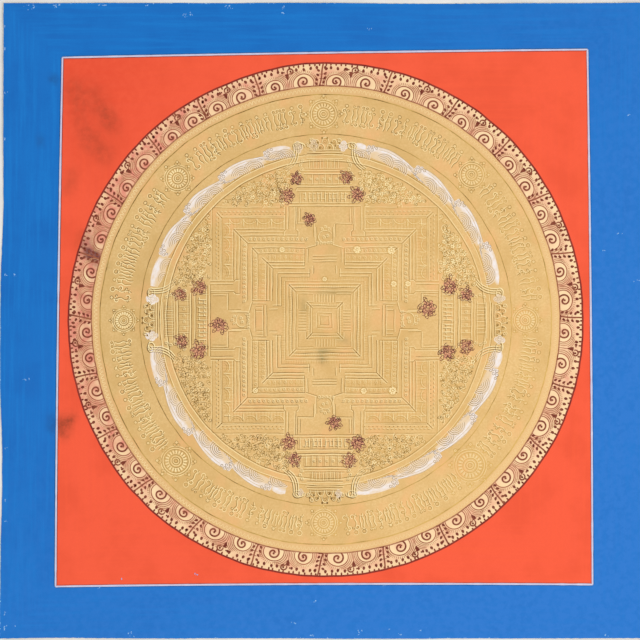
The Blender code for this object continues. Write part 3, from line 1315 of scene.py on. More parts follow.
@dataclass
class SprigRing:
    """The gold disc's outer rings: petals, a ring of generic sprigs between rosettes, and ruled circles."""

    inks: GoldInks
    mid: float = 0.1545
    wheel_at: tuple = (
        (-0.6, 154.5, 1.08), (45.2, 153.8, 1), (90.1, 149.8, 0.95), (135.2, 153.8, 1.24), (180.6, 152.6, 1),
        (226.7, 153.8, 1.12), (269.9, 151.5, 0.84), (313.7, 153.8, 0.96))
    between: int = 15
    petals: int = 372
    circles: tuple = (
        (0.1395, 1.2, 0.9, 0.8, 0), (0.1693, 1.4, 0.9, 0.9, 0), (0.1248, 0.8, 0.9, 0.75, -0.8),
        (0.1192, 0.9, 1, 0.5, 0.9))
    band: Pair = (0.1701, 0.1754)
    petal_foot: float = 0.1704
    rims: tuple = (0.0012, 0.0026, 0.0044, 0.0080, 0.0095)

    def hung(self, x: float, top: float, foot: float, sway: float, phase: float) -> Array:
        """A wavy line that hangs: x + sway*sin(phase + 3.2*pi*s) and a straight run from top to foot."""
        share = np.linspace(0, 1, 13)
        return pair(x + sway * np.sin(phase + 3.2 * math.pi * share), top + (foot - top) * share)

    def sprigs(self) -> list[list[tuple[Array, float]]]:
        """Generic hanging ornaments, each a list of curves in millimetres with widths; y runs outwards.

        Returns:
            Five kinds of them.
        """
        wide, fine = 1.0, 0.8
        eye = [(circle(1.25, 11, (0, 7.1)), fine)]
        twin = [(self.hung(-1.7, 5.4, -7.0, 0.4, 0.0), wide), (self.hung(1.6, 5.0, -5.8, 0.45, 1.5), wide)]
        lone = [(self.hung(0.0, 5.6, -7.4, 0.7, 0.6), wide)]
        three = [(self.hung(x, 4.6 - abs(x) * 0.3, -6.4 + abs(x) * 0.4, 0.3, x), wide)
                 for x in (-2.3, 0.0, 2.3)]
        rungs = [[(bow((-1.6, y), (1.5, y - 0.3), 0.9), fine) for y in heights] for heights in
                 ((4.0, 0.2), (2.0, -2.4, -5.6), (5.0, -4.4))]
        ends = ((((3.2, -0.8), (-4.8, 0.8)), (1, -1)), (((-6.4, 0.8),), (1, -1)),
                (((1.4, 0.8), (-3.4, -0.8)), (1,)))
        hooks = [[(spiral((way * 1.6, y), (1.35, 0.4), 1.6 + way * 1.4, way * turns, 10), wide)
                  for y, turns in tips for way in ways] for tips, ways in ends]
        beads = [(circle(0.8, 9, (x, 6.9)), fine) for x in (-1.3, 1.4)]
        return [eye + twin + rungs[0], eye + lone + hooks[0], beads + twin + hooks[1] + rungs[2],
                eye + lone + rungs[1] + hooks[2], eye + three + rungs[2]]

    def build(self) -> None:
        """Draws the circles, the petals, the sprigs and the rosettes."""
        inks, mandala = self.inks, self.inks.mandala
        rng = np.random.default_rng(31)
        for radius, width, strength, rubbed, beside in self.circles:
            inks.draw(mandala.ring(radius, 320), width * MM, strength, rubbed, beside * MM, 0)
        around = np.arange(360) * TAU / 360
        band = mandala.polar(around[None, :], np.linspace(*self.band, 3)[:, None])[None]
        uneven = 0.2 * inks.hand.waves(band[..., 0], band[..., 1], 0.03, 1.2)
        # Painted light: this band of paler gold is fullest towards the lower right, where the key light
        # stands, and thinnest on the opposite side.
        wash = Relief("pale_band_and_painted_light", inks.lie, inks.hand)
        wash.films(band, Layer.WASH, np.clip(0.5 + 0.42 * np.cos(around - 2.0) + uneven, 0, 1), wrap=True)
        wash.build(InkFinish("band_gold", tint(232, 189, 128), tint(224, 180, 121), roughness=0.62,
                             metallic=0.1).build())
        angles = np.arange(self.petals) * TAU / self.petals
        petal = ellipse((0, 0.0004), (0.00115, 0.0030), 0.15, math.pi - 0.15, 7)
        inks.pale.lines(mandala.bent(petal, angles, self.petal_foot), 0.0010, Layer.LINE, 0.58, 0.7)
        wheels = np.radians([angle for angle, _, _ in self.wheel_at])
        steps = (np.roll(wheels, -1) - wheels) % TAU
        share = (np.arange(self.between) + 0.5) / self.between
        margin = 0.0140 / self.mid
        angles = (wheels[:, None] + margin + (steps[:, None] - 2 * margin) * share).ravel()
        angles = angles + rng.normal(0, 0.003, len(angles))
        kinds = rng.permutation(np.arange(len(angles)) % 5)
        for kind, curves in enumerate(self.sprigs()):
            turns = angles[kinds == kind]
            flips = rng.choice(BOTH_WAYS, len(turns))
            for curve, width in curves:
                inks.draw(mandala.bent(curve * MM, turns, self.mid, flips), width * MM, 0.84, 0.6, -0.0007)
        self.rosettes()
        inks.finish()

    def rosettes(self) -> None:
        """Wheels of rims, rayed petals and a hub, with a knot of three beads at every eighth turn."""
        inks = self.inks
        turns, radii, sizes = np.array(self.wheel_at).T
        turns = np.radians(turns)
        centres = inks.mandala.polar(turns, radii * MM)
        for radius in self.rims:
            inks.draw(placed(circle(radius, 27), centres, turns, sizes), 0.0008, 0.70, 0.7, -0.0008)
        for turn in np.arange(20) * TAU / 20:
            spoke = np.array(((0, 0.0048), (0.0002, 0.0062), (0, 0.0077)))
            inks.draw(placed(spoke, centres, turns + turn, sizes), 0.0009, 0.75, 0.7, 0.0)
            petal = spots(0, 0.0063, centres, turns + turn + TAU / 40, sizes)
            inks.pale.drops(petal, 0.00088, 1.7, turns + turn, strength=0.5, rubbed=0.7)
        for turn in np.arange(8) * TAU / 8:
            for x, y in ((-0.0013, 0.0110), (0.0013, 0.0110), (0.0, 0.0126)):
                bead = placed(circle(0.0011, 9, (x, y)), centres, turns + turn, sizes)
                inks.draw(bead, 0.0008, 0.7, 0.7, 0.0006 if y > 0.012 else 0.0)


@dataclass
class CloudRing:
    """White clouds that sweep clockwise between the gates, with ripples under them."""

    inks: GoldInks
    base: float = 0.1244
    spans: tuple = (
        (13.5, 30.5), (30.5, 47.5), (47.5, 64), (64, 78.5), (106, 122.2), (122.2, 139.5), (139.5, 155.8),
        (155.8, 171), (198, 212.5), (212.5, 229.7), (229.7, 248), (248, 261.5), (291.4, 307.2),
        (307.2, 322.8), (322.8, 339.4), (339.4, 348.5))
    leads: tuple = ((9.4, 13.4), (100, 105.9), (193.2, 197.9), (281, 291.3))
    puffs: tuple = (
        (5.8, 0.95, 0.78), (83, 0.60, 0.85), (96.5, 0.75, 0.80), (175.8, 0.65, 0.68), (188.3, 0.60, 0.55),
        (264.8, 1.10, 0.95), (276.8, 1.10, 0.95), (350.8, 0.35, 0.90), (356, 0.30, 0.90))
    outer: tuple = (8.8, 10.4, 11.3, 11.5, 11.4, 11, 10.4, 9.6, 8.7, 7.8, 7.0)
    inner: tuple = (3.4, 2.2, 1.5, 1.3, 1.2, 1.2, 1.2, 1.3, 1.4, 1.5, 1.5)
    last_outer: tuple = (8.8, 10.4, 11.2, 11.3, 11.2, 11, 10.8, 10.5, 10, 9.2, 7.8)
    last_inner: tuple = (3.4, 2.2, 1.5, 1.3, 1.2, 1.3, 1.6, 2.3, 3.4, 4.8, 6.4)
    lead_outer: tuple = (9.6, 10.8, 11, 10.4, 9.4)
    lead_inner: tuple = (4.2, 2, 1.4, 1.3, 1.2)
    crests: tuple = ((0.985, 0.04, 1, 0.55), (0.80, 0.22, 0.98, 0.45), (0.60, 0.34, 1, 0.6))
    head: tuple = (
        (0.8, 6.6, 1.7), (1.4, 9.2, 1.8), (4, 10, 1.7), (3.6, 7.4, 1.9), (6.4, 9.6, 1.5), (2.2, 4.8, 1.5))
    lobes: tuple = (
        (0.2, 3.4, 3, 0.90), (-1.8, 0.6, 2.8, 0.85), (1.8, 0.4, 2.7, 0.85), (0, -2.2, 2.6, 0.70))
    puff_rise: float = 0.0060

    def body(self, white: Relief, spans: Array, outer: tuple, inner: tuple, strength: float,
             fade: float = 0.05) -> None:
        """Soft white films, full along the crest and thin at the foot.

        Formula: between the two contours, given in millimetres over the base at even shares of the span, the
        load rises by a smooth step across the film, from a quarter to 1. The step starts lower along it.
        The load falls to a half at the rim. A slow noise and streaks along the ring make it uneven.

        Args:
            white: the relief that takes the films.
            spans: (clouds, 2) first and last angle.
            outer, inner: the contours.
            strength: load at the crest.
            fade: share of the span over which the end thins out.
        """
        share, across = np.linspace(0, 1, 46), np.linspace(0, 1, 12)
        contours = [np.interp(share, np.linspace(0, 1, len(edge)), edge) for edge in (outer, inner)]
        high, low = (np.convolve(np.pad(edge, 2, "edge"), np.ones(5) / 5, "valid") * MM for edge in contours)
        rise = low[:, None] + (high - low)[:, None] * across
        angle = spans[:, :1, None] + np.diff(spans)[:, :, None] * share[None, :, None]
        place = self.inks.mandala.polar(angle, self.base + np.broadcast_to(rise, (len(spans), *rise.shape)))
        soft = 0.26 + 0.74 * ease((across - 0.39 + 0.22 * share[:, None]) / 0.40)
        soft = np.minimum(soft, 0.5 + 0.5 * ease((1 - across) / 0.14))
        soft = soft * ease(0.2 + (1 - share[:, None]) / fade)
        run = np.broadcast_to(angle * self.base, place.shape[:-1])
        streaks = self.inks.hand.waves(run * 0.22, np.broadcast_to(rise, run.shape), 0.0042, 4.4)
        uneven = 0.92 + 0.30 * streaks + 0.14 * self.inks.hand.waves(place[..., 0], place[..., 1], 0.012, 4.4)
        white.films(place, Layer.WASH, np.clip(strength * soft * uneven, 0, 1))

    def over(self, target: Relief, spans: Array, share: Array, rise: Array, width: float,
             strength: float) -> None:
        """Lines along each cloud.

        Args:
            target: the relief that takes them.
            spans: (clouds, 2) first and last angle.
            share, rise: shares of the span, and heights in millimetres over the base.
            width, strength: of the line.
        """
        angle = spans[:, :1] + np.diff(spans) * share
        place = self.inks.mandala.polar(angle, self.base + rise * MM)
        target.lines(place, width, Layer.LINE, strength, 0.35)

    def ripples(self, white: Relief, grey: Relief, spans: Array, fans: tuple) -> None:
        """Fans of nested arcs under the crest.

        Args:
            white, grey: the reliefs that take them.
            spans: (clouds, 2) first and last angle.
            fans: for each one, its middle's share of the span and height in millimetres, and its arcs.
        """
        mandala = self.inks.mandala
        for at, low, count in fans:
            middles = spans[:, 0] + (spans[:, 1] - spans[:, 0]) * at
            for size in 1.0 + 1.3 * np.arange(count):
                for target, grown, width, crest in ((grey, size, 0.58, Layer.RAISED),
                                                    (white, size + 0.65, 0.80, Layer.LINE)):
                    arc = ellipse((0, low * MM), (grown * 1.12 * MM, grown * MM), -0.3, 2.6, 15)
                    target.lines(mandala.bent(arc, middles, self.base), width * MM, crest, 0.8, 0.5)

    def build(self) -> None:
        """Draws the bodies, their tails, crests and ripples, and the heads."""
        inks, mandala = self.inks, self.inks.mandala
        white = Relief("cloud_white", inks.lie, inks.hand, sunk=-0.00003)
        grey = Relief("cloud_lines", inks.lie, inks.hand, sunk=-0.00003)
        spans, leads = np.radians(self.spans), np.radians(self.leads)
        last = np.arange(len(spans)) % 4 == 3
        self.body(white, spans[~last], self.outer, self.inner, 1.0)
        self.body(white, spans[last], self.last_outer, self.last_inner, 0.95, 0.12)
        self.body(white, leads, self.lead_outer, self.lead_inner, 0.95, 0.22)
        even = np.linspace(0, 1, len(self.outer))
        for level, start, end, strength in self.crests:
            share = np.linspace(start, end, 26)
            low, high = np.interp(share, even, self.inner), np.interp(share, even, self.outer)
            self.over(grey, spans[~last], share, low + (high - low) * level, 0.00058, strength)
        for number, start in enumerate(np.linspace(0.84, 1.06, 8)):
            share = np.linspace(start, start + 0.32, 14)
            rise = 1.3 + (5.4 - 0.62 * number) * (1 - ((share - start) / 0.32) ** 1.3)
            self.over(white if number % 2 else grey, spans[~last], share, rise, 0.00062, 0.9)
        self.ripples(white, grey, spans, ((0.40, 1.3, 5), (0.70, 0.9, 5)))
        self.ripples(white, grey, leads, ((0.34, 1.6, 3), (0.74, 1.2, 4)))
        for x, y, size in self.head:
            lobe = mandala.spot(x * MM, y * MM, spans[:, 0], self.base)
            white.drops(lobe, size * MM, 1.0, spans[:, 0], crest=Layer.CLOUD, sides=11, rubbed=0.25,
                        strength=0.85)
            curl = spiral((x * MM, y * MM), (size * 0.80 * MM, 0.5 * MM), 2.2, -1.05, 12)
            grey.lines(mandala.bent(curl, spans[:, 0], self.base), 0.00066, Layer.RAISED, 1.0, 0.3)
        self.puff(white, grey)
        white.build(InkFinish("cloud_white", tint(242, 232, 228), tint(230, 193, 134), roughness=0.8).build())
        grey.build(InkFinish("cloud_grey", tint(122, 98, 66), tint(222, 190, 140), roughness=0.8).build())

    def puff(self, white: Relief, grey: Relief) -> None:
        """Small clouds on both sides of each gate, given by angle, whiteness and size.

        Args:
            white, grey: the reliefs that take their lobes and their curls.
        """
        mandala = self.inks.mandala
        angles, whites, sizes = np.array(self.puffs).T
        angles, faint = np.radians(angles), 1.1 - 0.8 * whites[:, None]
        base = self.base + self.puff_rise
        for x, y, size, share in self.lobes:
            lobe = mandala.spot(x * MM, y * MM, angles, base, 1.0, sizes)
            white.drops(lobe, size * sizes * MM, 1.0, angles, crest=Layer.CLOUD, sides=11, rough=0.12,
                        strength=share * whites[:, None])
            curl = spiral((x * MM, y * MM), (size * 0.7 * MM, 0.5 * MM), 2.6, -1.2, 12)
            grey.lines(mandala.bent(curl, angles, base, 1.0, sizes), 0.00062, Layer.RAISED, faint, 0.4)


@dataclass
class Foliage:
    """Dense small scrolls of leaves between the palace's walls and the ruled circle."""

    inks: GoldInks
    centre: Pair = (0.0012, 0.0002)
    spacing: float = 0.0031
    reach: float = 0.1180
    walls: float = 0.0868

    def build(self) -> None:
        """Draws curls and leaf drops on a shaken grid, inside the circle and outside the palace and gates."""
        inks = self.inks
        rng = np.random.default_rng(41)
        line = np.arange(-self.reach, self.reach, self.spacing)
        x, y = (axis.ravel() + rng.normal(0, 0.0006, len(line) ** 2) for axis in np.meshgrid(line, line))
        near, far = np.minimum(np.abs(x), np.abs(y)), np.maximum(np.abs(x), np.abs(y))
        inside = (np.hypot(x, y) < self.reach - 0.0010) & (far > self.walls)
        gate = near < np.where(far < 0.097, 0.0310, 0.0255)
        tops = pair(x + self.centre[0], y + self.centre[1])[inside & ~gate]
        count = len(tops)
        turn, size = rng.uniform(0, TAU, count), rng.uniform(0.75, 1.2, count)
        flip = rng.choice(BOTH_WAYS, count)
        curl = np.concatenate((bow((-0.0024, -0.0016), (-0.0003, -0.0016), -0.0003, 3),
                               spiral((0.0, 0.0), (0.0016, 0.0004), -1.7, 1.15, 9)))
        # Painted highlight and shadow: the olive curl is the pale one moved 0.7 mm aside and turned a little.
        inks.pale.lines(placed(curl, tops, turn, size, flip), 0.00090, Layer.LINE, 0.70, 0.5)
        inks.olive.lines(placed(curl + 0.0007, tops, turn + 0.2, size, flip), 0.00070, Layer.RAISED, 0.82,
                         0.6)
        inks.olive.drops(tops + rng.normal(0, 0.0013, (count, 2)), 0.00060, 1.6, rng.uniform(0, TAU, count),
                         strength=0.85, rubbed=0.6, sides=5)
        tufts = tops[rng.random(count) < 0.10]
        petals = [tufts + 0.0011 * pair(np.cos(turn), np.sin(turn)) for turn in np.arange(5) * TAU / 5]
        inks.pale.drops(np.concatenate(petals), 0.00062, crest=Layer.RAISED, strength=0.95, sides=6)
        inks.finish()


@dataclass
class Palace:
    """The square palace seen from above: walls within walls, bands of ornament, and a gate on each side.

    Every length in its tables is in millimetres: v runs outwards from the palace's centre, u along the side.
    """

    inks: GoldInks
    centre: Pair = (0.00116, 0.00019)
    stretch: float = 3.0
    squares: tuple = (
        (77.6, 30.3, 0.8, 0.8), (76.6, 30.3, 0.7, 0.7), (68.3, 30.3, 0.8, 0.8), (65.9, 30.3, 0.7, 0.7),
        (63.4, 30.3, 0.9, 0.95), (57.8, 15, 0.8, 0.85), (54.3, 15, 0.9, 0.9), (49.9, 15, 0.8, 0.75),
        (43.5, 15, 1, 0.95), (41.4, 15, 0.8, 0.8), (39, 15, 1, 0.9), (35.3, 11, 0.9, 0.9),
        (32.6, 11, 0.8, 0.8), (29.4, 0, 0.7, 0.65), (26.8, 0, 0.8, 0.75), (24.4, 0, 1.1, 1),
        (21.4, 0, 0.8, 0.75), (19.6, 8.6, 0.7, 0.65), (13.6, 8.6, 0.7, 0.65), (11, 0, 0.9, 0.85),
        (9.2, 0, 0.7, 0.65), (5.4, 0, 0.7, 0.75), (3.2, 0, 0.7, 0.75))
    mitres: tuple = (
        (39, 43.5), (43.5, 47), (57.8, 63.4), (63.4, 68.3), (49.9, 54.3), (76.9, 81), (21.4, 26.8),
        (9.2, 13.6))
    doorway: tuple = (
        ((-29.4, 68), (-29.4, 85.6)), ((-21.7, 68), (-21.7, 85.6)), ((-29.4, 68), (-30.9, 66.6)),
        ((-30.9, 66.6), (-30.9, 63.4)), ((-21.7, 68), (-20.2, 66.6)), ((-20.2, 66.6), (-20.2, 63.4)),
        ((-30.9, 63.4), (-20.2, 63.4)), ((-27, 68.4), (-27, 85.6)), ((-20.4, 72.3), (-20.4, 85.2)),
        ((-20.4, 72.3), (-8.3, 72.3)), ((-8.3, 72.3), (-8.3, 62.6)), ((-5.9, 56.3), (-5.9, 70)),
        ((-18.4, 74.2), (-18.4, 84)), ((-15, 41.4), (-15, 54.3)), ((-12.4, 43.5), (-12.4, 54)),
        ((-14.2, 54), (-5.9, 56.3)), ((-11, 32.6), (-11, 39)), ((-8, 35.3), (-8, 41.4)))
    flowers: tuple = (
        (50, 52.5, 1), (24.4, 53.1, 0.9), (-31.9, 53.1, 0.7), (51.8, 27.5, 0.75), (62.5, 27.5, 0.7),
        (51, -52.5, 0.95), (29.4, -52.8, 0.75), (-52, -52.5, 0.7), (0, 31, 0.6))
    beams: tuple = (
        (85.6, 27, 0.9, 0.9), (87.8, 26.6, 0.8, 0.8), (96.6, 20.5, 0.9, 0.9), (99.8, 20.5, 1.1, 1),
        (101.7, 20, 0.8, 0.8), (109.6, 15.4, 1, 1), (111.8, 16.8, 0.8, 0.8), (113.6, 14.8, 0.8, 0.8),
        (120.6, 13.6, 0.9, 0.9), (123.6, 14.6, 0.8, 0.8))
    scrolls: tuple = ((60.6, 14, 58.5, 3.5, 0.9), (52, 17, 49, 3.4, 0.6), (46.7, 17, 44, 4.2, 0.45))
    hatching: tuple = (
        (68.6, 76, 31.5, 2.3, 0.26), (44, 49.6, 16, 2, 0.28), (29.8, 32.4, -28, 1.9, 0.30),
        (24.6, 26.6, -23, 1.7, 0.28), (11.2, 13.4, -10, 1.7, 0.30))
    bars: tuple = (
        (44, 9, (0, 2)), (46, 9, (0, 2)), (48.2, 9, (0, 2)), (43.2, 11.6, (1, 3)), (45.7, 11.6, (1, 3)),
        (51.8, 8.6, (1, 3)))
    posts: tuple = ((101.9, 109.4, 14.4, 4.8), (113.8, 120.4, 12, 2.7), (87.8, 96.6, 19, 9.5))
    arches: tuple = (
        (-9.4, 128, 0.80), (-3.3, 128, 0.95), (3.3, 128, 0.95), (9.4, 128, 0.80), (0, 132.6, 1),
        (-6.6, 132.2, 0.7), (6.6, 132.2, 0.7))
    volutes: tuple = ((-13.2, 131, 1), (13.2, 131, -1), (-10.4, 134.6, -1), (10.4, 134.6, 1))
    pearls: tuple = ((1.9, 136.8), (5, 133.4), (8, 131), (11.2, 133), (3.6, 129.6))
    beside_roof: tuple = ((17.2, 119), (18.6, 116), (17.4, 112.6), (19.4, 109.4), (21.6, 105.4))

    def side(self, curves: Array, number: int) -> Array:
        """Curves of the top side, (u, v) from the palace's centre, carried to side 0 to 3, clockwise."""
        cos, sin = round(math.cos(number * TAU / 4)), round(math.sin(number * TAU / 4))
        u, v = curves[..., 0], curves[..., 1]
        return pair(self.centre[0] + u * cos + v * sin, self.centre[1] + v * cos - u * sin)

    def run(self, start: Pair, end: Pair, width: float = 0.8, strength: float = 0.7, shift: float = 0.8,
            sides: tuple = (0, 1, 2, 3)) -> None:
        """A straight line on all four sides, or on some of them.

        Args:
            start, end: its ends, (u, v).
            width, strength: of the olive ink.
            shift: how far the pale line stands to its left.
            sides: numbers of the sides.
        """
        path = np.linspace(start, end, max(int(math.dist(start, end) / self.stretch) + 2, 3)) * MM
        for number in sides:
            self.inks.draw(self.side(path, number), width * MM * 0.80, strength * 1.2, 0.70, shift * MM, 0.1)

    def mirrored(self, start: Pair, end: Pair, width: float = 0.8, strength: float = 0.7,
                 shift: float = 0.8) -> None:
        """A straight line and its mirror image, on all four sides."""
        self.run(start, end, width, strength, shift)
        self.run((-start[0], start[1]), (-end[0], end[1]), width, strength, -shift)

    def row(self, curve: Array, us: object, v: Number, width: float, strength: float = 0.7,
            flips: Number = 1.0, pale: bool = True) -> None:
        """A motif repeated along all four sides.

        Args:
            curve: the motif, in millimetres.
            us, v: where its copies stand.
            width, strength: of the olive ink.
            flips: 1, or -1 to mirror a copy.
            pale: whether it is drawn in pale gold too.
        """
        copies = placed(curve * MM, pair(np.array(us), v) * MM, 0.0, 1.0, flips)
        for number in range(4):
            paths = self.side(copies, number)
            if pale:
                # Painted highlight: the pale copy is moved 0.6 mm towards the top right, the same way on
                # every side.
                self.inks.pale.lines(paths + 0.0006, width * MM, Layer.LINE, min(1.3 * strength, 1.0), 0.5)
            self.inks.olive.lines(paths, width * MM * 0.85, Layer.LINE, strength, 0.5)

    def walls(self) -> None:
        """The ruled squares, their mitres, and the dashes and dots outside them."""
        for half, gap, width, strength in self.squares:
            if gap:
                self.mirrored((-half, half), (-gap, half), width, strength)
            else:
                self.run((-half, half), (half, half), width, strength)
        for low, high in self.mitres:
            self.mirrored((-low, low), (-high, high), 0.9, 0.6)
        self.mirrored((-84.4, 84.4), (-30.3, 84.4), 0.7, 0.7)
        dash = np.concatenate((np.arange(31.5, 81.0, 3.1), -np.arange(31.5, 81.0, 3.1)))
        self.row(np.array(((-0.9, 0.0), (0.0, 0.1), (0.9, 0.0))), dash, 81.4, 0.8, 0.9)
        dots = pair(dash + 1.5, 79.6) * MM
        for number in range(4):
            self.inks.olive.drops(self.side(dots, number), 0.0005, strength=0.9, rubbed=0.6, sides=6)

    def bands(self) -> None:
        """Swags with tassels, borders of small scrolls, fine hatching, flowers, and the inner ladders."""
        swag = ellipse((0, 0), (4.9, 4.2), math.pi + 0.1, TAU - 0.1, 9)
        us = (np.arange(35.6, 72.0, 10.4)[:, None] * BOTH_WAYS).ravel()
        self.row(swag, us, 76.0, 0.8, 0.50)
        self.row(swag * 0.65, us, 76.0, 0.6, 0.50, pale=False)
        self.row(bow((0, 0), (0, -5.4), 0.3, 4), us + np.sign(us) * 5.2, 75.8, 0.9, 0.65)
        curl = spiral((0, 0), (1.45, 0.4), 2.6, -1.3, 9)
        for v, low, reach, step, strength in self.scrolls:
            us = (np.arange(low, reach, step)[:, None] * BOTH_WAYS).ravel()
            self.row(curl, us, v, 0.75, strength, np.where(np.arange(len(us)) % 2 == 0, 1.0, -1.0))
        for low, high, start, step, strength in self.hatching:
            us = np.arange(start, low, step)
            us = us if start < 0 else np.concatenate((us, -us))
            self.row(bow((0, 0), (0, high - low), 0.05, 3), us, low, 0.6, strength, pale=False)
        for u, v, size in self.flowers:
            middle = np.array(((u, v),)) * MM + self.centre
            for turn in np.arange(7) * TAU / 7:
                self.inks.pale.drops(spots(0, 0.0020, middle, turn, size), 0.00105 * size, 1.2, turn,
                                     strength=0.9, rubbed=0.5)
            self.inks.pale.drops(middle, 0.0010 * size, crest=Layer.RAISED, strength=0.9)
            for radius in (0.0010, 0.0036):
                ring = placed(circle(radius, 16), middle, 0.0, size)
                self.inks.olive.lines(ring, 0.0006, Layer.RAISED, 0.6, 0.5)
        for u in np.arange(-7.4, 7.5, 2.1):
            self.run((u, 13.8), (u, 19.6), 0.7, 0.7, 0.7)
        pot = ellipse((0, 0), (5.4, 4.6), 0.5, math.pi - 0.5 + math.pi, 20)
        self.row(pot, (0.0,), 62.4, 0.8, 0.8)
        self.row(curl, np.arange(-6.0, 6.1, 2.6), 57.6, 0.8, 0.8)
        self.row(curl, (-2.6, 0.0, 2.6, -1.4, 1.4), np.array((68.0, 69.6, 68.0, 62.0, 63.0)), 0.8, 0.8)

    def gates(self) -> None:
        """The T-shaped gate walls, and the tiered roof over each: beams, posts, scrolls and a finial."""
        for start, end in self.doorway:
            self.mirrored(start, end, 0.85, 0.85)
        for v, half, sides in self.bars:
            self.run((-half, v), (half, v), 0.8, 0.9, sides=sides)
        for u in (-10.4, -7.6, 7.6, 10.4):
            self.run((u, 46.2), (u, 51.4), 0.7, 0.8, sides=(1, 3))
        for v, half, width, strength in self.beams:
            self.run((-half, v), (half, v), width, strength)
            if width > 1.0:
                self.mirrored((-half, v), (-half - 1.6, v - 2.2), 0.8, 0.8)
        for low, high, half, step in self.posts:
            for apart in (0.0, 1.2):
                us = np.arange(-half, half + 0.1, step) + apart
                self.row(bow((0, 0), (0, high - low), 0.0, 3), us, low, 0.7, 0.8, pale=apart == 0.0)
        us = np.arange(-15.0, 15.1, 3.0)
        for number, mark in enumerate((bow((0, -3.4), (0, 3.4), 0.3), bow((-0.2, 2.2), (1.9, 2.4), 0.2, 3),
                                       bow((0.0, -1.8), (1.7, -1.2), 0.3, 3))):
            self.row(mark, us, 92.2, 0.9, 1.0, np.where(np.arange(len(us)) % (3 + number) == 0, -1.0, 1.0))
        curl = spiral((0, 0), (1.9, 0.5), 2.6, -1.3, 11)
        self.row(curl * 0.6, np.arange(-11.0, 11.1, 4.8), 105.6, 0.8, 0.8)
        for v, half in ((125.4, 13.4), (127.2, 12.0)):
            self.run((-half, v), (half, v), 0.9, 1.3)
        for u, v, size in self.arches:
            for grown in (1.0, 0.60, 0.25):
                arch = ellipse((0, 0), (2.7 * grown, 4.4 * grown), -0.1, math.pi + 0.1, 12)
                self.row(arch * size, (u,), v, 0.9, 1.05, pale=grown == 1.0)
        for u, v, way in self.volutes:
            self.row(curl, (u,), v, 1.0, 1.15, way)
        for way in BOTH_WAYS:
            loop = np.concatenate((ellipse((20.6, 130.6), (3.4, 2.6), 5.6, -0.6, 20),
                                   bow((23.6, 129.0), (31.0, 113.5), -2.6, 9)))
            for number in range(4):
                dots = self.side(np.array(self.pearls) * (way, 1.0) * MM, number)
                self.inks.olive.drops(dots, 0.00085, 1.3, crest=Layer.RAISED)
            for inset in (0.0, 1.9, 3.8):
                line = loop[int(inset * 4):] - np.array((inset * 0.9, inset * 0.25))
                self.row(line * (way, 1.0), (0.0,), 0.0, 1.35, 1.3)
            self.row(circle(1.5, 10, (21.2 * way, 131.4)), (0.0,), 0.0, 1.1, 1.3)
            us, vs = np.array(self.beside_roof).T
            self.row(curl * 0.85, way * us, vs, 0.85, 0.95, way)

    def build(self) -> None:
        """Draws everything of the palace."""
        self.walls()
        self.bands()
        self.gates()
        self.inks.finish()


@dataclass
class LeafSprays:
    """Dense small maroon sprays beside the gates: pink washes with curled lines over them."""

    lie: ClothLie
    hand: Hand
    places: tuple = (
        (296, 178, 0.9), (286, 195, 1.1), (346, 177, 0.9), (357, 194, 1.1), (309, 219, 0.9),
        (180, 294, 0.9), (198, 287, 1.1), (181, 341, 0.95), (198, 350, 1.2), (219, 325, 1.1), (466, 294, 1),
        (449, 286, 1.15), (447, 352, 1.15), (466, 346, 1), (427, 308, 1.2), (288, 442, 1.1),
        (294, 459, 0.95), (357, 443, 1.15), (349, 460, 1), (334, 422, 1))
    curls: int = 20

    def build(self) -> None:
        """Scatters each spray's washes and lines in a leaning oval, as a rosette with a tip."""
        rng = np.random.default_rng(93)
        rows = np.array(self.places)
        centres, size = on_cloth(rows[:, :2]), rows[:, 2]
        lean = rng.uniform(-0.9, 0.9, len(rows))
        fill = Relief("spray_washes", self.lie, self.hand)
        ink = Relief("spray_lines", self.lie, self.hand)
        for number in range(6):
            turn = number * TAU / 6
            where = spots(0.0024 * math.sin(turn), 0.0026 * math.cos(turn) + 0.0004, centres, lean, size)
            fill.drops(where, 0.0022 * size, 1.15, lean + turn, tail=0.5, crest=Layer.WASH, sides=9,
                       strength=0.9, rubbed=0.5, rough=0.25)
        for number in range(self.curls):
            turn, out = number * 2.4, 0.0043 * math.sqrt((number + 0.4) / self.curls)
            where = spots(out * math.sin(turn), 1.12 * out * math.cos(turn) + 0.0002, centres, lean, size)
            where = where + rng.normal(0, 0.0004, (len(rows), 2))
            curl = spiral((0, 0), (0.0016, 0.0005), 2.6, -1.0, 10) * (1.0, 1.2)
            spin, flip = lean + turn + rng.normal(0, 0.6, len(rows)), rng.choice(BOTH_WAYS, len(rows))
            crest = Layer.LINE if number % 2 else Layer.RAISED
            ink.lines(placed(curl, where, spin, size, flip), 0.00086, crest, 1.05, 0.35)
            if number % 3 == 0:
                leaf = np.concatenate((bow((-0.0008, 0.0), (0, 0.0030), 0.0007, 4),
                                       bow((0, 0.0030), (0.0008, 0), 0.0007, 4)))
                ink.lines(placed(leaf, where, spin, size, flip), 0.00075, crest, 0.95, 0.35)
        fill.build(InkFinish("spray_pink", tint(214, 144, 112), tint(228, 178, 122)).build())
        ink.build(InkFinish("spray_maroon", tint(80, 24, 30), tint(172, 94, 78)).build())


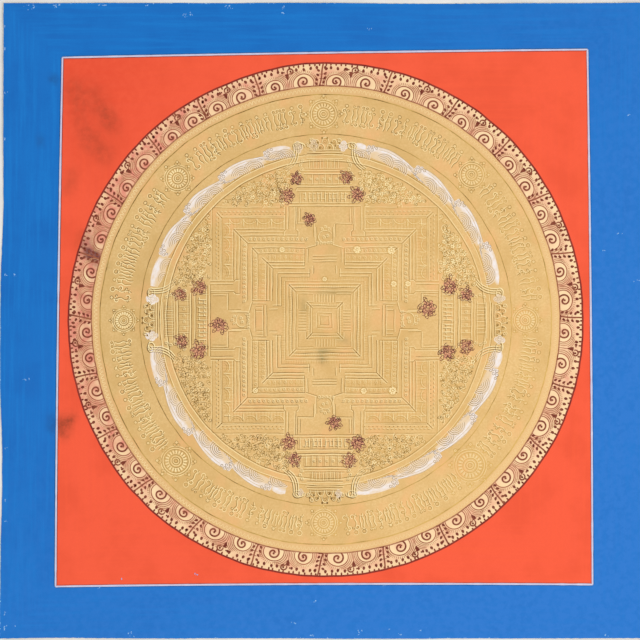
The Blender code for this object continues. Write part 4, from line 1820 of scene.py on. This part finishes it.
@dataclass
class Wear:
    """Paint losses on the blue border, where the pale priming shows."""

    lie: ClothLie
    hand: Hand
    places: tuple = (
        (30, 5, 3.4), (33, 8, 2.2), (55, 5, 3.2), (103, 4, 2.6), (146, 4, 1.2), (184, 15, 2.4),
        (190, 14, 1.6), (227, 6, 2.8), (282, 8, 1.4), (282, 13, 1), (370, 28, 1.6), (629, 114, 1.4),
        (619, 233, 1.2), (603, 250, 1), (638, 280, 2), (14, 275, 1.4), (27, 379, 2.2), (98, 588, 1.4),
        (121, 579, 1.2), (195, 574, 1.6), (383, 585, 1.2), (3, 612, 2.6), (4, 627, 3.2), (131, 632, 2.4),
        (310, 635, 1.8), (315, 601, 1.2), (295, 622, 1.4), (355, 632, 2.2), (388, 628, 1.2),
        (400, 634, 1.4), (420, 630, 1), (604, 634, 1.6), (4, 26, 1.6), (4, 49, 1.8), (4, 92, 1.4),
        (4, 138, 1.2), (5, 275, 1.8), (4, 448, 2), (4, 500, 2), (5, 520, 1.6))
    inside: Pair = (0.2385, 0.2365)

    def build(self) -> None:
        """Scatters flecks round each worn place, more of them where it is wider."""
        rng = np.random.default_rng(61)
        rows = np.array(self.places, float)
        number = np.clip((rows[:, 2] * 3).astype(int), 2, 9)
        which = np.repeat(np.arange(len(rows)), number)
        spread = rng.normal(0, 1, (len(which), 2)) * np.array((1.5, 0.7)) * rows[which, 2:3] * 0.7
        flecks = np.clip(on_cloth(rows[which, :2] + spread), -np.array(self.inside), self.inside)
        count = len(flecks)
        chips = Relief("paint_losses", self.lie, self.hand)
        chips.drops(flecks, rng.uniform(0.00018, 0.00048, count), rng.uniform(0.6, 1.8, count),
                    rng.uniform(0, TAU, count), crest=Layer.WASH, rubbed=0.5, sides=8, rough=0.45)
        chips.build(InkFinish("worn_priming", tint(150, 192, 232), tint(84, 146, 212),
                              roughness=0.95).build())


# Light, floor and camera


@dataclass
class Studio:
    """Pale floor, soft light and the camera straight above the painting."""

    view_width: float = 0.480
    lens: float = 85.0
    sensor: float = 36.0
    aim: Place = (-0.00236, 0.00056, 0.0012)

    def camera(self) -> None:
        """The camera, at the height where the lens takes in the view's width: width*lens/sensor."""
        data = bpy.data.cameras.new("camera")
        data.lens, data.sensor_width = self.lens, self.sensor
        data.clip_start, data.clip_end = 0.01, 20.0
        seen = bpy.data.objects.new("camera", data)
        rise = self.view_width * self.lens / self.sensor
        seen.location = (self.aim[0], self.aim[1], self.aim[2] + rise)
        bpy.context.collection.objects.link(seen)
        bpy.context.scene.camera = seen

    def floor(self) -> None:
        """A wide pale matt floor, just under the cloth."""
        half = 6.0
        points = np.array(((-half, -half, 0), (half, -half, 0), (half, half, 0), (-half, half, 0)))
        material, graph, shader = new_material("pale_floor", 0.1)
        shader["Roughness"].default_value = 0.9
        fine = graph.ramp(graph.noise(graph.place(), 60.0, 4.0), 0.3, 0.7)
        graph.link(graph.mix(fine, tint(226, 224, 219), tint(232, 230, 226)), shader["Base Color"])
        ground = mesh_object("pale_floor", points, [np.array(((0, 1, 2, 3),))], {}, [material])

    def light(self, name: str, place: Place, size: float, power: float, hue: Colour) -> None:
        """A square soft light that faces the painting's middle.

        Args:
            name: its name.
            place: where its middle stands.
            size: length of its side.
            power: in watts.
            hue: its colour.
        """
        data = bpy.data.lights.new(name, "AREA")
        data.size, data.energy, data.color = size, power, hue[:3]
        lamp = bpy.data.objects.new(name, data)
        lamp.location = place
        tilt = math.acos(place[2] / np.linalg.norm(place))
        lamp.rotation_euler = (tilt, 0.0, math.atan2(place[1], place[0]) + math.pi / 2)
        bpy.context.collection.objects.link(lamp)

    def build(self) -> None:
        """Sets up the world, two lights, the floor and the camera."""
        world = bpy.data.worlds.new("studio")
        world.use_nodes = True
        background = world.node_tree.nodes["Background"]
        background.inputs["Color"].default_value = (0.94, 0.97, 1.0, 1.0)
        background.inputs["Strength"].default_value = 0.62
        bpy.context.scene.world = world
        bpy.context.scene.view_settings.view_transform = "Standard"
        self.light("key", (0.9, -0.5, 1.9), 1.2, 22.0, (1.0, 0.98, 0.95, 1.0))
        self.light("fill", (-1.2, 1.0, 2.0), 1.6, 8.0, (0.96, 0.98, 1.0, 1.0))
        self.floor()
        self.camera()
        LOG.info("studio: lights, floor and camera")


def main() -> None:
    """Builds the painting from the cloth up, then its light, floor and camera."""
    logging.basicConfig(level=logging.INFO, format="%(name)s %(message)s")
    lie, hand, soil, mandala = ClothLie(), Hand(), Soil(), Mandala()
    PaintedCotton(lie, soil).build()
    RuledField(lie, hand, soil).build()
    ScrollRing(lie, hand, soil, mandala).build()
    GoldDisc(lie, hand, soil, mandala).build()
    for name, part, *loads in (("sprig_ring", SprigRing, (-0.45, 0.25), (-0.6, 0.1), 0.76),
                               ("cloud_ring", CloudRing, (0.0, 0.0), (0.0, 0.0), 1.0),
                               ("foliage", Foliage, (-0.30, -0.25), (0.6, 0.5), 1.0),
                               ("palace", Palace, (-0.5, -0.5), (-0.2, 0.0), 0.96)):
        part(GoldInks(name, lie, hand, mandala, *loads)).build()
    LeafSprays(lie, hand).build()
    Wear(lie, hand).build()
    Studio().build()


if __name__ == "__main__":
    main()
